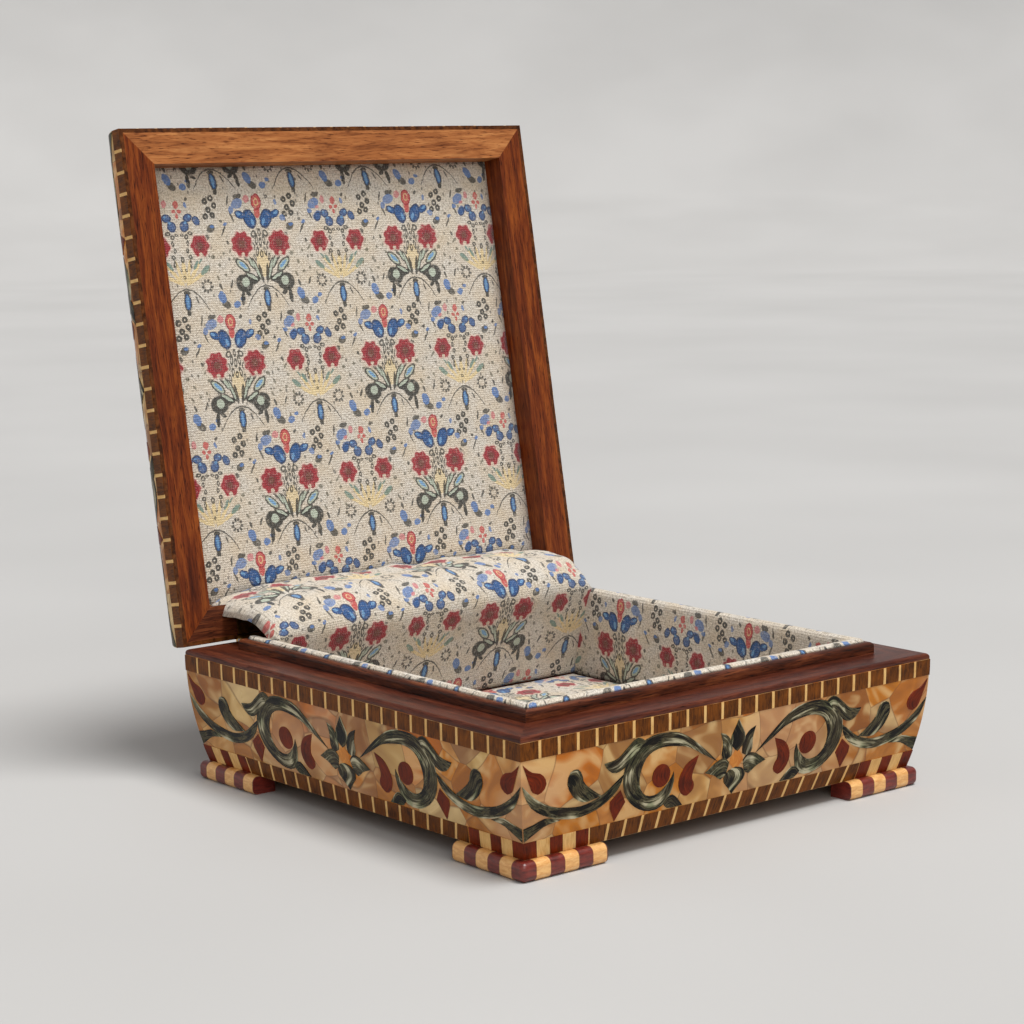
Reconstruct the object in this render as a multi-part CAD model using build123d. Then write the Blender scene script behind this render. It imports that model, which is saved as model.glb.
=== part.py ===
from build123d import *

import math
import os

# A square wooden musical jewel box, standing open on four corner feet.
# Inlaid veneer covers its sides and lid, cloth lines it, and a small wind-up
# movement sits on the bottom panel under a lift-off cover in the front left corner.
# Millimetres. X runs along the front, Y from the front to the hinges, Z up.
# Every piece is drawn about the middle of the box, and export() then moves it so
# that the origin is on the table, under the middle of the open object.

# The box
SIDE = 160.0
FOOT_HEIGHT = 5.5
WALL_TOP = 38.7
RIM_THICK = 1.7
LEDGE = WALL_TOP + RIM_THICK
BULGE_RADIUS = 117.0
SKIN = 1.2
LINER_OUTER = 68.3
LINER_INNER = 64.8
LINER_TOP = LEDGE + 3.3
BOTTOM_LOW = 6.7
BOTTOM_TOP = 9.5
CLOTH = 0.8
FLOOR_TOP = 15.3
EDGE_ROUND = 1.2
ORIGIN_Y = 20.6

# The feet
FOOT_OUTER = 78.0
FOOT_ARM = 30.0
FOOT_WIDTH = 8.0
FOOT_ROUND = 1.8

# The lid, drawn closed
LID_STRIP = 4.2
LID_DOME_RISE = 11.0
LID_DOME_REACH = 14.0
LID_THICK = LID_STRIP + LID_DOME_RISE
LID_FRAME = 11.0
LID_RECESS = 8.2
LID_PAD = 0.8
OPEN_ANGLE = 100.0

# The hinges
HINGE_Y = SIDE / 2 + 0.5
HINGE_SPACING = 96.0
KNUCKLE_RADIUS = 1.6
PIN_RADIUS = 0.7
LEAF_LENGTH = 24.0
LEAF_DEPTH = 9.0
LEAF_THICK = 0.8
KNUCKLE_GAP = 0.2
RUNNING_GAP = 0.05
HINGE_CLEARANCE = 0.3

# The compartment and the movement in it
ROOM_X = -20.0
ROOM_Y = -8.0
PARTITION = 2.2
PARTITION_TOP = 26.0
COVER_THICK = 3.0
MOVE_X = -43.0
MOVE_Y = -37.5
BED_WIDTH = 36.0
BED_LENGTH = 48.0
BED_THICK = 1.8
BED_TOP = BOTTOM_TOP + BED_THICK
AXLE_Z = 18.3
CYLINDER_Y = MOVE_Y - 8.0
IDLER_Y = MOVE_Y + 0.1
FAN_Y = MOVE_Y + 7.2
SPRING_Y = MOVE_Y + 12.0
HOUSING_RADIUS = 11.0
HOUSING_HEIGHT = 13.0
HOUSING_WALL = 1.0
ARBOR_RADIUS = 1.5
GEAR_MODULE = 0.5
GEAR_BACKLASH = 0.16
CYLINDER_RADIUS = 4.8
PIN_TIP_RADIUS = 5.3
TOOTH_COUNT = 18
TOOTH_PITCH = 1.0
COMB_LOW = AXLE_Z - 0.6
COMB_HIGH = AXLE_Z + 0.2
CYLINDER_AXLE = 0.8
WHEEL_AXLE = 0.6
KEY_Z = 3.2
KEY_SPAN = 20.0
KEY_HEIGHT = 4.0
KEY_HOLE = 1.0
HUB_RADIUS = 2.6
BOTTOM_HOLE = 3.5

# Places along the gear train, measured in X from the movement's middle
WHEEL_PLANE = (12.7, 14.3)
SECOND_PLANE = (15.0, 16.5)
INNER_BRACKET = (11.2, 12.2)
OUTER_BRACKET = (16.9, 17.9)

SIDES = {"front": 0, "right": 90, "back": 180, "left": 270}
CORNERS = {"front_left": 0, "front_right": 90, "back_right": 180, "back_left": 270}


def block(low, high):
    """A box between two corners."""
    size = [b - a for a, b in zip(low, high)]
    return Pos(*low) * Box(*size, align=(Align.MIN, Align.MIN, Align.MIN))


def square(half, low, high):
    """A square block centred on the box, between two heights."""
    return block((-half, -half, low), (half, half, high))


def ring(outer, inner, low, high):
    return square(outer, low, high) - square(inner, low, high)


def wedge():
    """The quarter of the box, in plan, that belongs to the front."""
    reach = SIDE
    plan = Polygon((0, 0), (-reach, -reach), (reach, -reach), align=None)
    return extrude(plan, SIDE)


def in_four(solid):
    """A square solid cut along its mitres into front, right, back and left."""
    return {side: solid & (Rot(0, 0, angle) * wedge()) for side, angle in SIDES.items()}


def hipped(section):
    """The square solid with this cross-section, drawn in X and Z, both ways."""
    run = extrude(Plane.XZ * section, SIDE, both=True)
    return run & (Rot(0, 0, 90) * run)


def rod(start, direction, radius, length):
    """A round bar from a point along X, Y or Z."""
    turn = {"x": Rot(0, 90, 0), "y": Rot(-90, 0, 0), "z": Rot(0, 0, 0)}[direction]
    bottom = (Align.CENTER, Align.CENTER, Align.MIN)
    return Pos(*start) * turn * Cylinder(radius, length, align=bottom)


def mirrored_section(right_edges, low, high):
    """A face closed from its right-hand edges and their mirror image."""
    left_edges = [edge.mirror(Plane.YZ) for edge in right_edges]
    lines = [Line((-point.X, point.Y), point) for point in (low, high)]
    return make_face(right_edges + left_edges + lines)


def body_block(skin):
    """The box's outer shape with a skin taken off: its sides curve in downwards."""
    radius = BULGE_RADIUS - skin
    centre = SIDE / 2 - BULGE_RADIUS
    sweep = math.degrees(math.asin((WALL_TOP - FOOT_HEIGHT) / radius))
    side = CenterArc((centre, WALL_TOP), radius, -sweep, sweep)
    return hipped(mirrored_section([side], side @ 0, side @ 1))


def lid_block(skin):
    """The closed lid's outer shape with a skin taken off: a strip, then a dome edge."""
    half = SIDE / 2 - skin
    shoulder = (SIDE / 2 - LID_DOME_REACH, LEDGE + LID_STRIP)
    reach = LID_DOME_REACH - skin
    rise = LID_DOME_RISE - skin
    strip = Line((half, LEDGE), (half, shoulder[1]))
    dome = EllipticalCenterArc(shoulder, reach, rise, 0, arc_size=90)
    return hipped(mirrored_section([strip, dome], strip @ 0, dome @ 1))


def opened(solid):
    """A piece of the closed lid, turned open about the hinge pins."""
    there = Pos(0, HINGE_Y, LEDGE)
    back = Pos(0, -HINGE_Y, -LEDGE)
    return there * Rot(-OPEN_ANGLE, 0, 0) * back * solid


def soften(solid, height, radius):
    """Rounds the edges of a solid that lie flat at this height."""
    edges = [e for e in solid.edges() if abs(e.bounding_box().min.Z - height) < 0.01
             and abs(e.bounding_box().max.Z - height) < 0.01]
    return fillet(edges, radius)


def hinge_places():
    return [-HINGE_SPACING / 2, HINGE_SPACING / 2]


def knuckles(middle):
    """The X ranges of a hinge's middle knuckle, or of its two outer ones."""
    third = LEAF_LENGTH / 3
    if middle:
        return [(-third / 2 + KNUCKLE_GAP, third / 2 - KNUCKLE_GAP)]
    return [(-LEAF_LENGTH / 2, -third / 2), (third / 2, LEAF_LENGTH / 2)]


def hinge_leaf(x, closed_side, bore):
    """One leaf with its knuckles. closed_side is -1 below the ledge and 1 above it."""
    edge_z = sorted((LEDGE, LEDGE + closed_side * LEAF_THICK))
    half = LEAF_LENGTH / 2
    back = HINGE_Y - KNUCKLE_RADIUS - HINGE_CLEARANCE
    leaf = block((x - half, back - LEAF_DEPTH, edge_z[0]), (x + half, back, edge_z[1]))
    for start, end in knuckles(middle=closed_side > 0):
        tube = rod((x + start, HINGE_Y, LEDGE), "x", KNUCKLE_RADIUS, end - start)
        web = block((x + start, back, edge_z[0]), (x + end, HINGE_Y, edge_z[1]))
        leaf += tube + web
    return leaf - rod((x - half, HINGE_Y, LEDGE), "x", bore, LEAF_LENGTH)


def hinge_screws(closed_side, slot_depth=0.25):
    """Two small screws a leaf, their flat heads level with its face."""
    screws = Part()
    head_y = HINGE_Y - KNUCKLE_RADIUS - LEAF_DEPTH / 2
    for x in hinge_places():
        for across in (-LEAF_LENGTH / 3, LEAF_LENGTH / 3):
            head = Pos(0, 0, -LEAF_THICK / 2) * Cone(0.6, 1.4, LEAF_THICK)
            shank = rod((0, 0, -5.0), "z", 0.6, 5.0 - LEAF_THICK)
            screw = head + shank - block((-1.1, -0.15, -slot_depth), (1.1, 0.15, 0.1))
            flip = Rot(0, 0, 0) if closed_side < 0 else Rot(180, 0, 0)
            screws += Pos(x + across, head_y, LEDGE) * flip * screw
    return screws


def hinge_room():
    """The space cut from the wood and veneer round each hinge's knuckles."""
    room = Part()
    half = LEAF_LENGTH / 2 + HINGE_CLEARANCE
    for x in hinge_places():
        start = (x - half, HINGE_Y, LEDGE)
        room += rod(start, "x", KNUCKLE_RADIUS + HINGE_CLEARANCE, 2 * half)
    return room


def hinges():
    """The two butt hinges: both sets of leaves, pins and screws, all drawn closed."""
    box_leaves = Part()
    lid_leaves = Part()
    pins = Part()
    for x in hinge_places():
        box_leaves += hinge_leaf(x, -1, PIN_RADIUS)
        lid_leaves += hinge_leaf(x, 1, PIN_RADIUS + RUNNING_GAP)
        pins += rod((x - LEAF_LENGTH / 2, HINGE_Y, LEDGE), "x", PIN_RADIUS, LEAF_LENGTH)
    return {
        "hinge_leaves_box": box_leaves - hinge_screws(-1, slot_depth=0),
        "hinge_leaves_lid": lid_leaves - hinge_screws(1, slot_depth=0),
        "hinge_pins": pins,
        "hinge_screws_box": hinge_screws(-1),
        "hinge_screws_lid": hinge_screws(1),
    }


def walls():
    """Four mitred boards and the inlaid veneer on their outer faces."""
    core = body_block(SKIN) - square(LINER_OUTER, 0, WALL_TOP)
    veneer = body_block(0) - body_block(SKIN)
    pieces = {"wall_" + side: solid for side, solid in in_four(core).items()}
    pieces |= {"inlay_" + side: solid for side, solid in in_four(veneer).items()}
    return pieces


def rim():
    """The flat plate on the walls that the lid closes on, mitred at its corners."""
    plate = square(SIDE / 2, WALL_TOP, LEDGE)
    plate = soften(plate, LEDGE, EDGE_ROUND)
    plate -= square(LINER_OUTER, WALL_TOP, LEDGE)
    return {"rim_" + side: solid for side, solid in in_four(plate).items()}


def liner():
    """Four thin boards inside the walls, standing up past the rim to guide the lid."""
    boards = square(LINER_OUTER, BOTTOM_TOP, LINER_TOP)
    boards = soften(boards, LINER_TOP, EDGE_ROUND)
    boards -= square(LINER_INNER, BOTTOM_TOP, LINER_TOP)
    return {"liner_" + side: solid for side, solid in in_four(boards).items()}


def linings():
    """Cloth-covered card on three walls."""
    top = LINER_TOP - 0.4
    cloth = ring(LINER_INNER, LINER_INNER - CLOTH, BOTTOM_TOP, top)
    return {"lining_" + side: cloth & quarter
            for side, quarter in in_four(square(LINER_INNER, 0, SIDE)).items()
            if side != "back"}


def curved_card(points, thick, half_length):
    """A curved strip along X whose front face passes through points in Y and Z."""
    front = Spline(*points)
    back = Spline(*[front @ (i / 8) - thick * normal_at(front, i / 8) for i in range(9)])
    ends = [Line(front @ 0, back @ 0), Line(front @ 1, back @ 1)]
    face = Plane.YZ * make_face([front, back] + ends)
    return extrude(face, half_length, both=True)


def normal_at(curve, place):
    """The unit vector to the left of a curve in the XY plane."""
    along = curve % place
    return Vector(-along.Y, along.X)


def back_cloth():
    """The leaning back lining, and the stiffened cloth that goes on over the hinges."""
    half = LINER_INNER - CLOTH - 0.4
    lining = curved_card([(63.2, FLOOR_TOP + 0.5), (59.6, 29.0), (54.2, 44.0)], -1.0, half)
    bridge = curved_card(
        [(54.1, 44.3), (57.6, 51.2), (65.0, 55.6), (73.0, 56.4), (82.2, 55.4), (89.6, 55.8)],
        -1.0, half)
    return {"lining_back": lining, "hinge_cloth": bridge}


def floor_pad():
    """The padded floor, cut away for the compartment."""
    reach = LINER_INNER - CLOTH - 0.2
    pad = square(reach, BOTTOM_TOP, FLOOR_TOP)
    return {"floor_pad": pad - block((-reach, -reach, 0), (ROOM_X + 0.1, ROOM_Y + 0.1, SIDE))}


def feet():
    """An L-shaped bar under each corner, proud of the walls and rounded outside."""
    inner = FOOT_OUTER - FOOT_WIDTH
    tip = FOOT_OUTER - FOOT_ARM
    bar = block((-FOOT_OUTER, -FOOT_OUTER, 0), (-tip, -tip, FOOT_HEIGHT))
    bar = fillet(bar.edges().filter_by(Axis.Z).sort_by_distance((-SIDE, -SIDE, 0))[0], FOOT_ROUND)
    outer = [e for e in bar.edges() if e.center().X < -FOOT_OUTER + FOOT_ROUND
             or e.center().Y < -FOOT_OUTER + FOOT_ROUND]
    flat = [e for e in outer if e.bounding_box().size.Z < 0.01]
    bar = fillet(flat, FOOT_ROUND)
    bar -= block((-inner, -inner, 0), (0, 0, FOOT_HEIGHT))
    return {"foot_" + corner: Rot(0, 0, angle) * bar for corner, angle in CORNERS.items()}


def bottom_panel():
    """The plywood bottom, let in between the walls, with the holes under the movement."""
    panel = square(LINER_OUTER, BOTTOM_LOW, BOTTOM_TOP)
    panel -= rod((MOVE_X, SPRING_Y, BOTTOM_LOW), "z", BOTTOM_HOLE, BOTTOM_TOP - BOTTOM_LOW)
    return {"bottom_panel": panel - movement_screws()}


def compartment():
    """Two cloth-covered partitions that wall off the movement."""
    reach = LINER_INNER - CLOTH
    side = block((ROOM_X - PARTITION, -reach, BOTTOM_TOP), (ROOM_X, ROOM_Y, PARTITION_TOP))
    back = block((-reach, ROOM_Y - PARTITION, BOTTOM_TOP),
                 (ROOM_X - PARTITION, ROOM_Y, PARTITION_TOP))
    return {"partition_side": side, "partition_back": back}


def cover():
    """The padded cover that lifts off the movement."""
    reach = LINER_INNER - CLOTH - 0.4
    plate = block((-reach, -reach, PARTITION_TOP),
                  (ROOM_X, ROOM_Y, PARTITION_TOP + COVER_THICK))
    return {"movement_cover": soften(plate, PARTITION_TOP + COVER_THICK, EDGE_ROUND)}


def lid():
    """The lid's mitred frame, its board, its veneer and the cloth pad inside."""
    core = lid_block(SKIN)
    frame = core & square(SIDE, LEDGE, LEDGE + LID_RECESS)
    frame -= square(SIDE / 2 - LID_FRAME, LEDGE, LEDGE + LID_RECESS)
    veneer = lid_block(0) - core
    flat = square(SIDE / 2 - LID_DOME_REACH, LEDGE, LEDGE + LID_THICK)
    pad_low = LEDGE + LID_RECESS - LID_PAD
    pieces = {"lid_rail_" + side: solid for side, solid in in_four(frame).items()}
    pieces |= {"lid_inlay_" + side: solid for side, solid in in_four(veneer - flat).items()}
    pieces["lid_inlay_top"] = veneer & flat
    pieces["lid_board"] = core & square(SIDE, LEDGE + LID_RECESS, SIDE)
    pieces["lid_pad"] = square(SIDE / 2 - LID_FRAME - 0.2, pad_low, LEDGE + LID_RECESS)
    return pieces


def gear(teeth, plane, y, turn):
    """A spur wheel on an axle along X. Its flanks are involutes, thinned for backlash."""
    pitch = GEAR_MODULE * teeth / 2
    base = pitch * math.cos(math.radians(20))
    tip = pitch + 0.85 * GEAR_MODULE
    root = pitch - 1.2 * GEAR_MODULE
    involute_20 = math.tan(math.radians(20)) - math.radians(20)
    half_tooth = math.pi / 2 / teeth - GEAR_BACKLASH / 2 / pitch + involute_20
    flank = []
    for step in range(5):
        radius = max(base, root) + (tip - max(base, root)) * step / 4
        pressure = math.acos(min(1.0, base / radius))
        flank.append((radius, half_tooth - math.tan(pressure) + pressure))
    flank.insert(0, (root, flank[0][1]))
    outline = [(radius, -angle) for radius, angle in flank]
    outline += [(radius, angle) for radius, angle in reversed(flank)]
    points = []
    for tooth in range(teeth):
        middle = 2 * math.pi * tooth / teeth + math.radians(turn)
        points += [(r * math.cos(middle + a), r * math.sin(middle + a)) for r, a in outline]
    wheel = extrude(Plane.YZ * Polygon(*points, align=None), plane[1] - plane[0])
    return Pos(MOVE_X + plane[0], y, AXLE_Z) * wheel


def axle(y, radius, start, end):
    return rod((MOVE_X + start, y, AXLE_Z), "x", radius, end - start)


def bedplate():
    """The cast plate that carries the movement, with the comb's raised seat."""
    half_width = BED_WIDTH / 2
    half_length = BED_LENGTH / 2
    plate = block((MOVE_X - half_width, MOVE_Y - half_length, BOTTOM_TOP),
                  (MOVE_X + half_width, MOVE_Y + half_length, BED_TOP))
    plate = fillet(plate.edges().filter_by(Axis.Z), 3.0)
    plate += block((MOVE_X - 9.5, MOVE_Y - half_length + 0.5, BED_TOP),
                   (MOVE_X + 9.5, CYLINDER_Y - 11.5, COMB_LOW))
    plate -= rod((MOVE_X, SPRING_Y, BOTTOM_TOP), "z", ARBOR_RADIUS + RUNNING_GAP, BED_THICK)
    return plate - comb_screws() - movement_screws()


def comb():
    """The steel comb: tuned teeth that lengthen towards the low notes."""
    half = TOOTH_COUNT * TOOTH_PITCH / 2
    tip = CYLINDER_Y - PIN_TIP_RADIUS - 0.2
    plate = block((MOVE_X - half, MOVE_Y - BED_LENGTH / 2 + 0.5, COMB_LOW),
                  (MOVE_X + half, tip, COMB_HIGH))
    for slot in range(1, TOOTH_COUNT):
        x = MOVE_X - half + slot * TOOTH_PITCH
        depth = 6.0 - 2.0 * slot / TOOTH_COUNT
        plate -= block((x - 0.12, tip - depth, AXLE_Z - 1), (x + 0.12, tip, AXLE_Z + 1))
    return plate - comb_screws()


def comb_screws():
    """Two cheese-head screws that hold the comb down on its seat."""
    screws = Part()
    for across in (-5.5, 5.5):
        foot = (MOVE_X + across, MOVE_Y - BED_LENGTH / 2 + 2.6, AXLE_Z - 4.6)
        head = (foot[0], foot[1], COMB_HIGH)
        slot_low = (foot[0] - 2, foot[1] - 0.2, AXLE_Z + 0.9)
        slot_high = (foot[0] + 2, foot[1] + 0.2, AXLE_Z + 1.4)
        screws += rod(foot, "z", 0.9, 4.8) + rod(head, "z", 1.6, 1.2) - block(slot_low, slot_high)
    return screws


def movement_screws():
    """Three screws up through the bottom panel into the bedplate."""
    screws = Part()
    places = [(-14, -20), (14, -20), (14, 20)]
    for across, along in places:
        place = (MOVE_X + across, MOVE_Y + along)
        head = rod((*place, BOTTOM_LOW - 1.2), "z", 2.4, 1.2)
        head = fillet(head.edges().sort_by(Axis.Z)[0], 0.7)
        slot = block((place[0] - 3, place[1] - 0.3, BOTTOM_LOW - 1.2),
                     (place[0] + 3, place[1] + 0.3, BOTTOM_LOW - 0.6))
        shank = rod((*place, BOTTOM_LOW), "z", 1.0, BED_TOP - BOTTOM_LOW - 0.2)
        screws += head - slot + shank
    return screws


def spring_housing():
    """The mainspring's drum, cast in one with the case of its drive to the cylinder."""
    drum = rod((MOVE_X, SPRING_Y, BED_TOP), "z", HOUSING_RADIUS, HOUSING_HEIGHT)
    drum = soften(drum, BED_TOP + HOUSING_HEIGHT, 1.0)
    case = block((MOVE_X - 17.0, CYLINDER_Y - 4.0, BED_TOP),
                 (MOVE_X - 11.0, SPRING_Y, BED_TOP + HOUSING_HEIGHT - 2))
    case = fillet(case.edges().filter_by(Axis.Z), 1.5)
    link = block((MOVE_X - 12.5, SPRING_Y - 6, BED_TOP),
                 (MOVE_X, SPRING_Y, BED_TOP + HOUSING_HEIGHT - 2))
    room = rod((MOVE_X, SPRING_Y, BED_TOP), "z", HOUSING_RADIUS - HOUSING_WALL,
               HOUSING_HEIGHT - HOUSING_WALL)
    return drum + case + link - room - axle(CYLINDER_Y, CYLINDER_AXLE + RUNNING_GAP, -13.5, -11.0)


def mainspring():
    """A flat steel spiral, drawn as one even strip from the arbor to the drum."""
    def spiral(offset):
        turns = [i / 8 for i in range(41)]
        return Spline(*[((3.0 + offset + 1.25 * t) * math.cos(2 * math.pi * t),
                         (3.0 + offset + 1.25 * t) * math.sin(2 * math.pi * t)) for t in turns])
    inner, outer = spiral(0), spiral(0.35)
    ends = [Line(inner @ 0, outer @ 0), Line(inner @ 1, outer @ 1)]
    strip = extrude(make_face([inner, outer] + ends), 8.0)
    return Pos(MOVE_X, SPRING_Y, BED_TOP + 1.5) * strip


def brackets():
    """Two upright plates with the bearings of the gear train."""
    low_y = CYLINDER_Y - 4.0
    high_y = FAN_Y + 3.0
    top = AXLE_Z + 5.0
    inner = block((MOVE_X + INNER_BRACKET[0], low_y, BED_TOP),
                  (MOVE_X + INNER_BRACKET[1], high_y, top))
    outer = block((MOVE_X + OUTER_BRACKET[0], IDLER_Y - 3.0, BED_TOP),
                  (MOVE_X + OUTER_BRACKET[1], high_y, top - 1.5))
    inner = fillet(inner.edges().filter_by(Axis.X).sort_by(Axis.Z)[-2:], 2.0)
    outer = fillet(outer.edges().filter_by(Axis.X).sort_by(Axis.Z)[-2:], 2.0)
    inner -= axle(CYLINDER_Y, CYLINDER_AXLE + RUNNING_GAP, *INNER_BRACKET)
    for y in (IDLER_Y, FAN_Y):
        bore = axle(y, WHEEL_AXLE + RUNNING_GAP, INNER_BRACKET[0], OUTER_BRACKET[1])
        inner -= bore
        outer -= bore
    return {"bracket_inner": inner, "bracket_outer": outer}


def cylinder():
    """The brass cylinder on its arbor. Its pins are spread in an even, made-up order."""
    body = axle(CYLINDER_Y, CYLINDER_RADIUS, -9.6, 9.6)
    body += axle(CYLINDER_Y, CYLINDER_AXLE, -13.2, 14.6)
    for track in range(TOOTH_COUNT):
        x = MOVE_X + (track + 0.5 - TOOTH_COUNT / 2) * TOOTH_PITCH
        for note in range(3):
            turn = track * 137.5 + note * 111.0
            root = CYLINDER_RADIUS - 0.3
            pin = rod((0, 0, root), "z", 0.17, PIN_TIP_RADIUS - root)
            body += Pos(x, CYLINDER_Y, AXLE_Z) * Rot(turn, 0, 0) * pin
    return body


def wheel_axle(y):
    """The axle that both brackets carry, a little shorter than they are apart."""
    return axle(y, WHEEL_AXLE, INNER_BRACKET[0] + 0.1, OUTER_BRACKET[1] - 0.1)


def idler():
    """The middle wheel and its pinion, in one with their axle."""
    pinion = gear(8, WHEEL_PLANE, IDLER_Y, 22.5)
    wheel = gear(20, SECOND_PLANE, IDLER_Y, 0)
    return pinion + wheel + wheel_axle(IDLER_Y)


def fan():
    """The air brake: two flat blades on an axle, with the pinion that drives them."""
    blade = block((MOVE_X + 12.6, FAN_Y - 0.25, AXLE_Z - 4.0),
                  (MOVE_X + 14.4, FAN_Y + 0.25, AXLE_Z + 4.0))
    return wheel_axle(FAN_Y) + blade + gear(8, SECOND_PLANE, FAN_Y, 22.5)


def key():
    """A flat butterfly key, low enough to clear the table, and the arbor it turns."""
    wing = Plane.XZ * SlotOverall(KEY_SPAN, KEY_HEIGHT)
    bow = Pos(MOVE_X, SPRING_Y, KEY_Z) * extrude(wing, 0.8, both=True)
    for side in (-1, 1):
        bow -= rod((MOVE_X + side * 7.2, SPRING_Y - 2, KEY_Z), "y", KEY_HOLE, 4)
    hub = rod((MOVE_X, SPRING_Y, 1.0), "z", HUB_RADIUS, 5.2)
    hub = fillet(hub.edges().sort_by(Axis.Z)[0], 0.8)
    arbor_end = BED_TOP + HOUSING_HEIGHT - 2 * HOUSING_WALL
    arbor = rod((MOVE_X, SPRING_Y, 4.0), "z", ARBOR_RADIUS, arbor_end - 4.0)
    return {"winding_key": bow + hub - arbor, "winding_arbor": arbor}


def movement():
    pieces = {
        "movement_bedplate": bedplate(),
        "spring_housing": spring_housing(),
        "mainspring": mainspring(),
        "comb": comb(),
        "comb_screws": comb_screws(),
        "movement_screws": movement_screws(),
        "cylinder": cylinder(),
        "cylinder_wheel": gear(24, WHEEL_PLANE, CYLINDER_Y, 0) - axle(CYLINDER_Y, CYLINDER_AXLE, 12, 15),
        "idler_wheel": idler(),
        "fan": fan(),
    }
    return pieces | brackets() | key()


def export(pieces):
    os.makedirs("parts", exist_ok=True)
    for name, solid in pieces.items():
        export_step(Pos(0, -ORIGIN_Y, 0) * solid, f"parts/{name}.step")


box_pieces = walls() | rim() | liner() | linings() | back_cloth() | floor_pad() | feet()
box_pieces |= bottom_panel() | compartment() | cover() | movement()
lid_pieces = lid()
hinge_pieces = hinges()
room = hinge_room()
for name in ("inlay_back", "wall_back", "rim_back"):
    leaves = hinge_pieces["hinge_leaves_box"]
    box_pieces[name] = box_pieces[name] - room - leaves - hinge_pieces["hinge_screws_box"]
for name in ("lid_rail_back", "lid_inlay_back"):
    leaves = hinge_pieces["hinge_leaves_lid"]
    lid_pieces[name] = lid_pieces[name] - room - leaves - hinge_pieces["hinge_screws_lid"]
for name in ("hinge_leaves_lid", "hinge_screws_lid"):
    lid_pieces[name] = hinge_pieces.pop(name)
lid_pieces = {name: opened(solid) for name, solid in lid_pieces.items()}
export(box_pieces | lid_pieces | hinge_pieces)
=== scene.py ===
"""The looks of a square keepsake music box, built around its CAD frame.

Lengths are in millimetres until a point is placed, and the box stands with its front at -Y.
"""

import math

import bmesh
import bpy
import numpy as np
from mathutils import Euler, Matrix, Vector, noise


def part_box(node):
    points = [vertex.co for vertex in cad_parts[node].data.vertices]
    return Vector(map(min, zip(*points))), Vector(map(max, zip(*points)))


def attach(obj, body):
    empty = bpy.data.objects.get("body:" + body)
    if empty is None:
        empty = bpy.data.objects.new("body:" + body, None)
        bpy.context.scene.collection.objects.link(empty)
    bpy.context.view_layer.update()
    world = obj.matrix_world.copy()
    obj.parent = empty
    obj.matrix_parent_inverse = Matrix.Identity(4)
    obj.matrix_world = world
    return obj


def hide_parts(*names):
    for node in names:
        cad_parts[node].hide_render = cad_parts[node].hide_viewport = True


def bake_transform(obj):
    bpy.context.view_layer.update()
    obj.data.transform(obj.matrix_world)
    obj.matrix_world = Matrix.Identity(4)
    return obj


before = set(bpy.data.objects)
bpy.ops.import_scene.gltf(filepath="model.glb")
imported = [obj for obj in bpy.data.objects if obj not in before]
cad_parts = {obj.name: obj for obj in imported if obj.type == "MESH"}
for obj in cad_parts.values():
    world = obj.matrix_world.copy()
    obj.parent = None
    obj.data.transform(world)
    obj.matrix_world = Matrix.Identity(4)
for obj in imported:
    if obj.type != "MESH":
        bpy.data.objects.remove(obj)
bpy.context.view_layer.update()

MM = 0.001
SIDE = 160.0
CENTRE_Y = -20.6  # the middle of the box, in the row frame

# The curved walls of the box.
FOOT_HEIGHT = 5.5
WALL_TOP = 38.7
BULGE_RADIUS = 117.0

# The ledge, the lip and the cloth behind it.
LEDGE = 40.4
LIP_INNER = 64.8
FLOOR_TOP = 15.3

# The lid, which stands open, and the way its own axes point.
HINGE_Y = 80.5
LID_ANGLE = math.radians(100)
LID_UP = Vector((0, -math.cos(LID_ANGLE), math.sin(LID_ANGLE)))
LID_OUT = Vector((0, math.sin(LID_ANGLE), math.cos(LID_ANGLE)))
LID_MIDDLE = 80.5
LID_STRIP = 4.2
DOME_RISE = 11.0
DOME_REACH = 14.0
LID_THICK = LID_STRIP + DOME_RISE
TOP_SQUEEZE = 0.74  # the side's design is so much narrower on the lid's flat top
PANEL_HALF = 69.0
PANEL_DEPTH = 7.4

# The inlaid bands: heights on the box's side.
BAND_LOW = 10.6
BAND_HIGH = 33.8
PROUD = 0.10
SUNK = 0.25
STRING = 1.0
STRIPE = 4.8
STRIPES_AT_END = 5
LAYER_STEP = 0.012  # pieces that cross each other lie at slightly different heights
LAYER_COUNT = 7
STREAK_STEP = 17.3  # each piece takes its streaks from another place in the figure

FOOT_BLOCK = 5.0
FOOT_REACH = 78.2  # from the middle of the box to the outside of the feet

# The printed cloth: its repeat.
COLUMN = 30.2
ROW = 38.0
ROW_SHIFT = 15.1
MOTIF_HEIGHT = 21.9  # a motif's carnations stand so far up its row
CARNATION_X = 7.15  # and so far to each side of its middle
BLOCK_PRINT = (9.0, 4.0)  # where the print's own middle falls, on the small pads and on the floor
FLOOR_PRINT = (22.0, 12.0)


# ---------------------------------------------------------------- placing points


def on_box(x, y, z):
    """A point given from the middle of the box, in the row frame."""
    return Vector((x, y + CENTRE_Y, z)) * MM


def on_lid(x, s, t):
    """A point on the open lid: s runs up from the hinge and t out through its thickness."""
    hinge = Vector((x, HINGE_Y + CENTRE_Y, LEDGE))
    return (hinge + LID_UP * s + LID_OUT * t) * MM


def quarter_turned(x, y, turn):
    """(x, y) turned by so many quarter turns about the middle."""
    for _ in range(turn):
        x, y = -y, x
    return x, y


def inset(z):
    """How far the curved wall has drawn in at a height."""
    return BULGE_RADIUS - math.sqrt(BULGE_RADIUS**2 - (WALL_TOP - z) ** 2)


def wall_place(turn):
    """Places (along, height, lift) on one side of the box."""

    def place(x, z, lift):
        half = SIDE / 2 - inset(z)
        px, py = quarter_turned(x * (half + lift) * 2 / SIDE, -half - lift, turn)
        return on_box(px, py, z)

    return place


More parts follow.
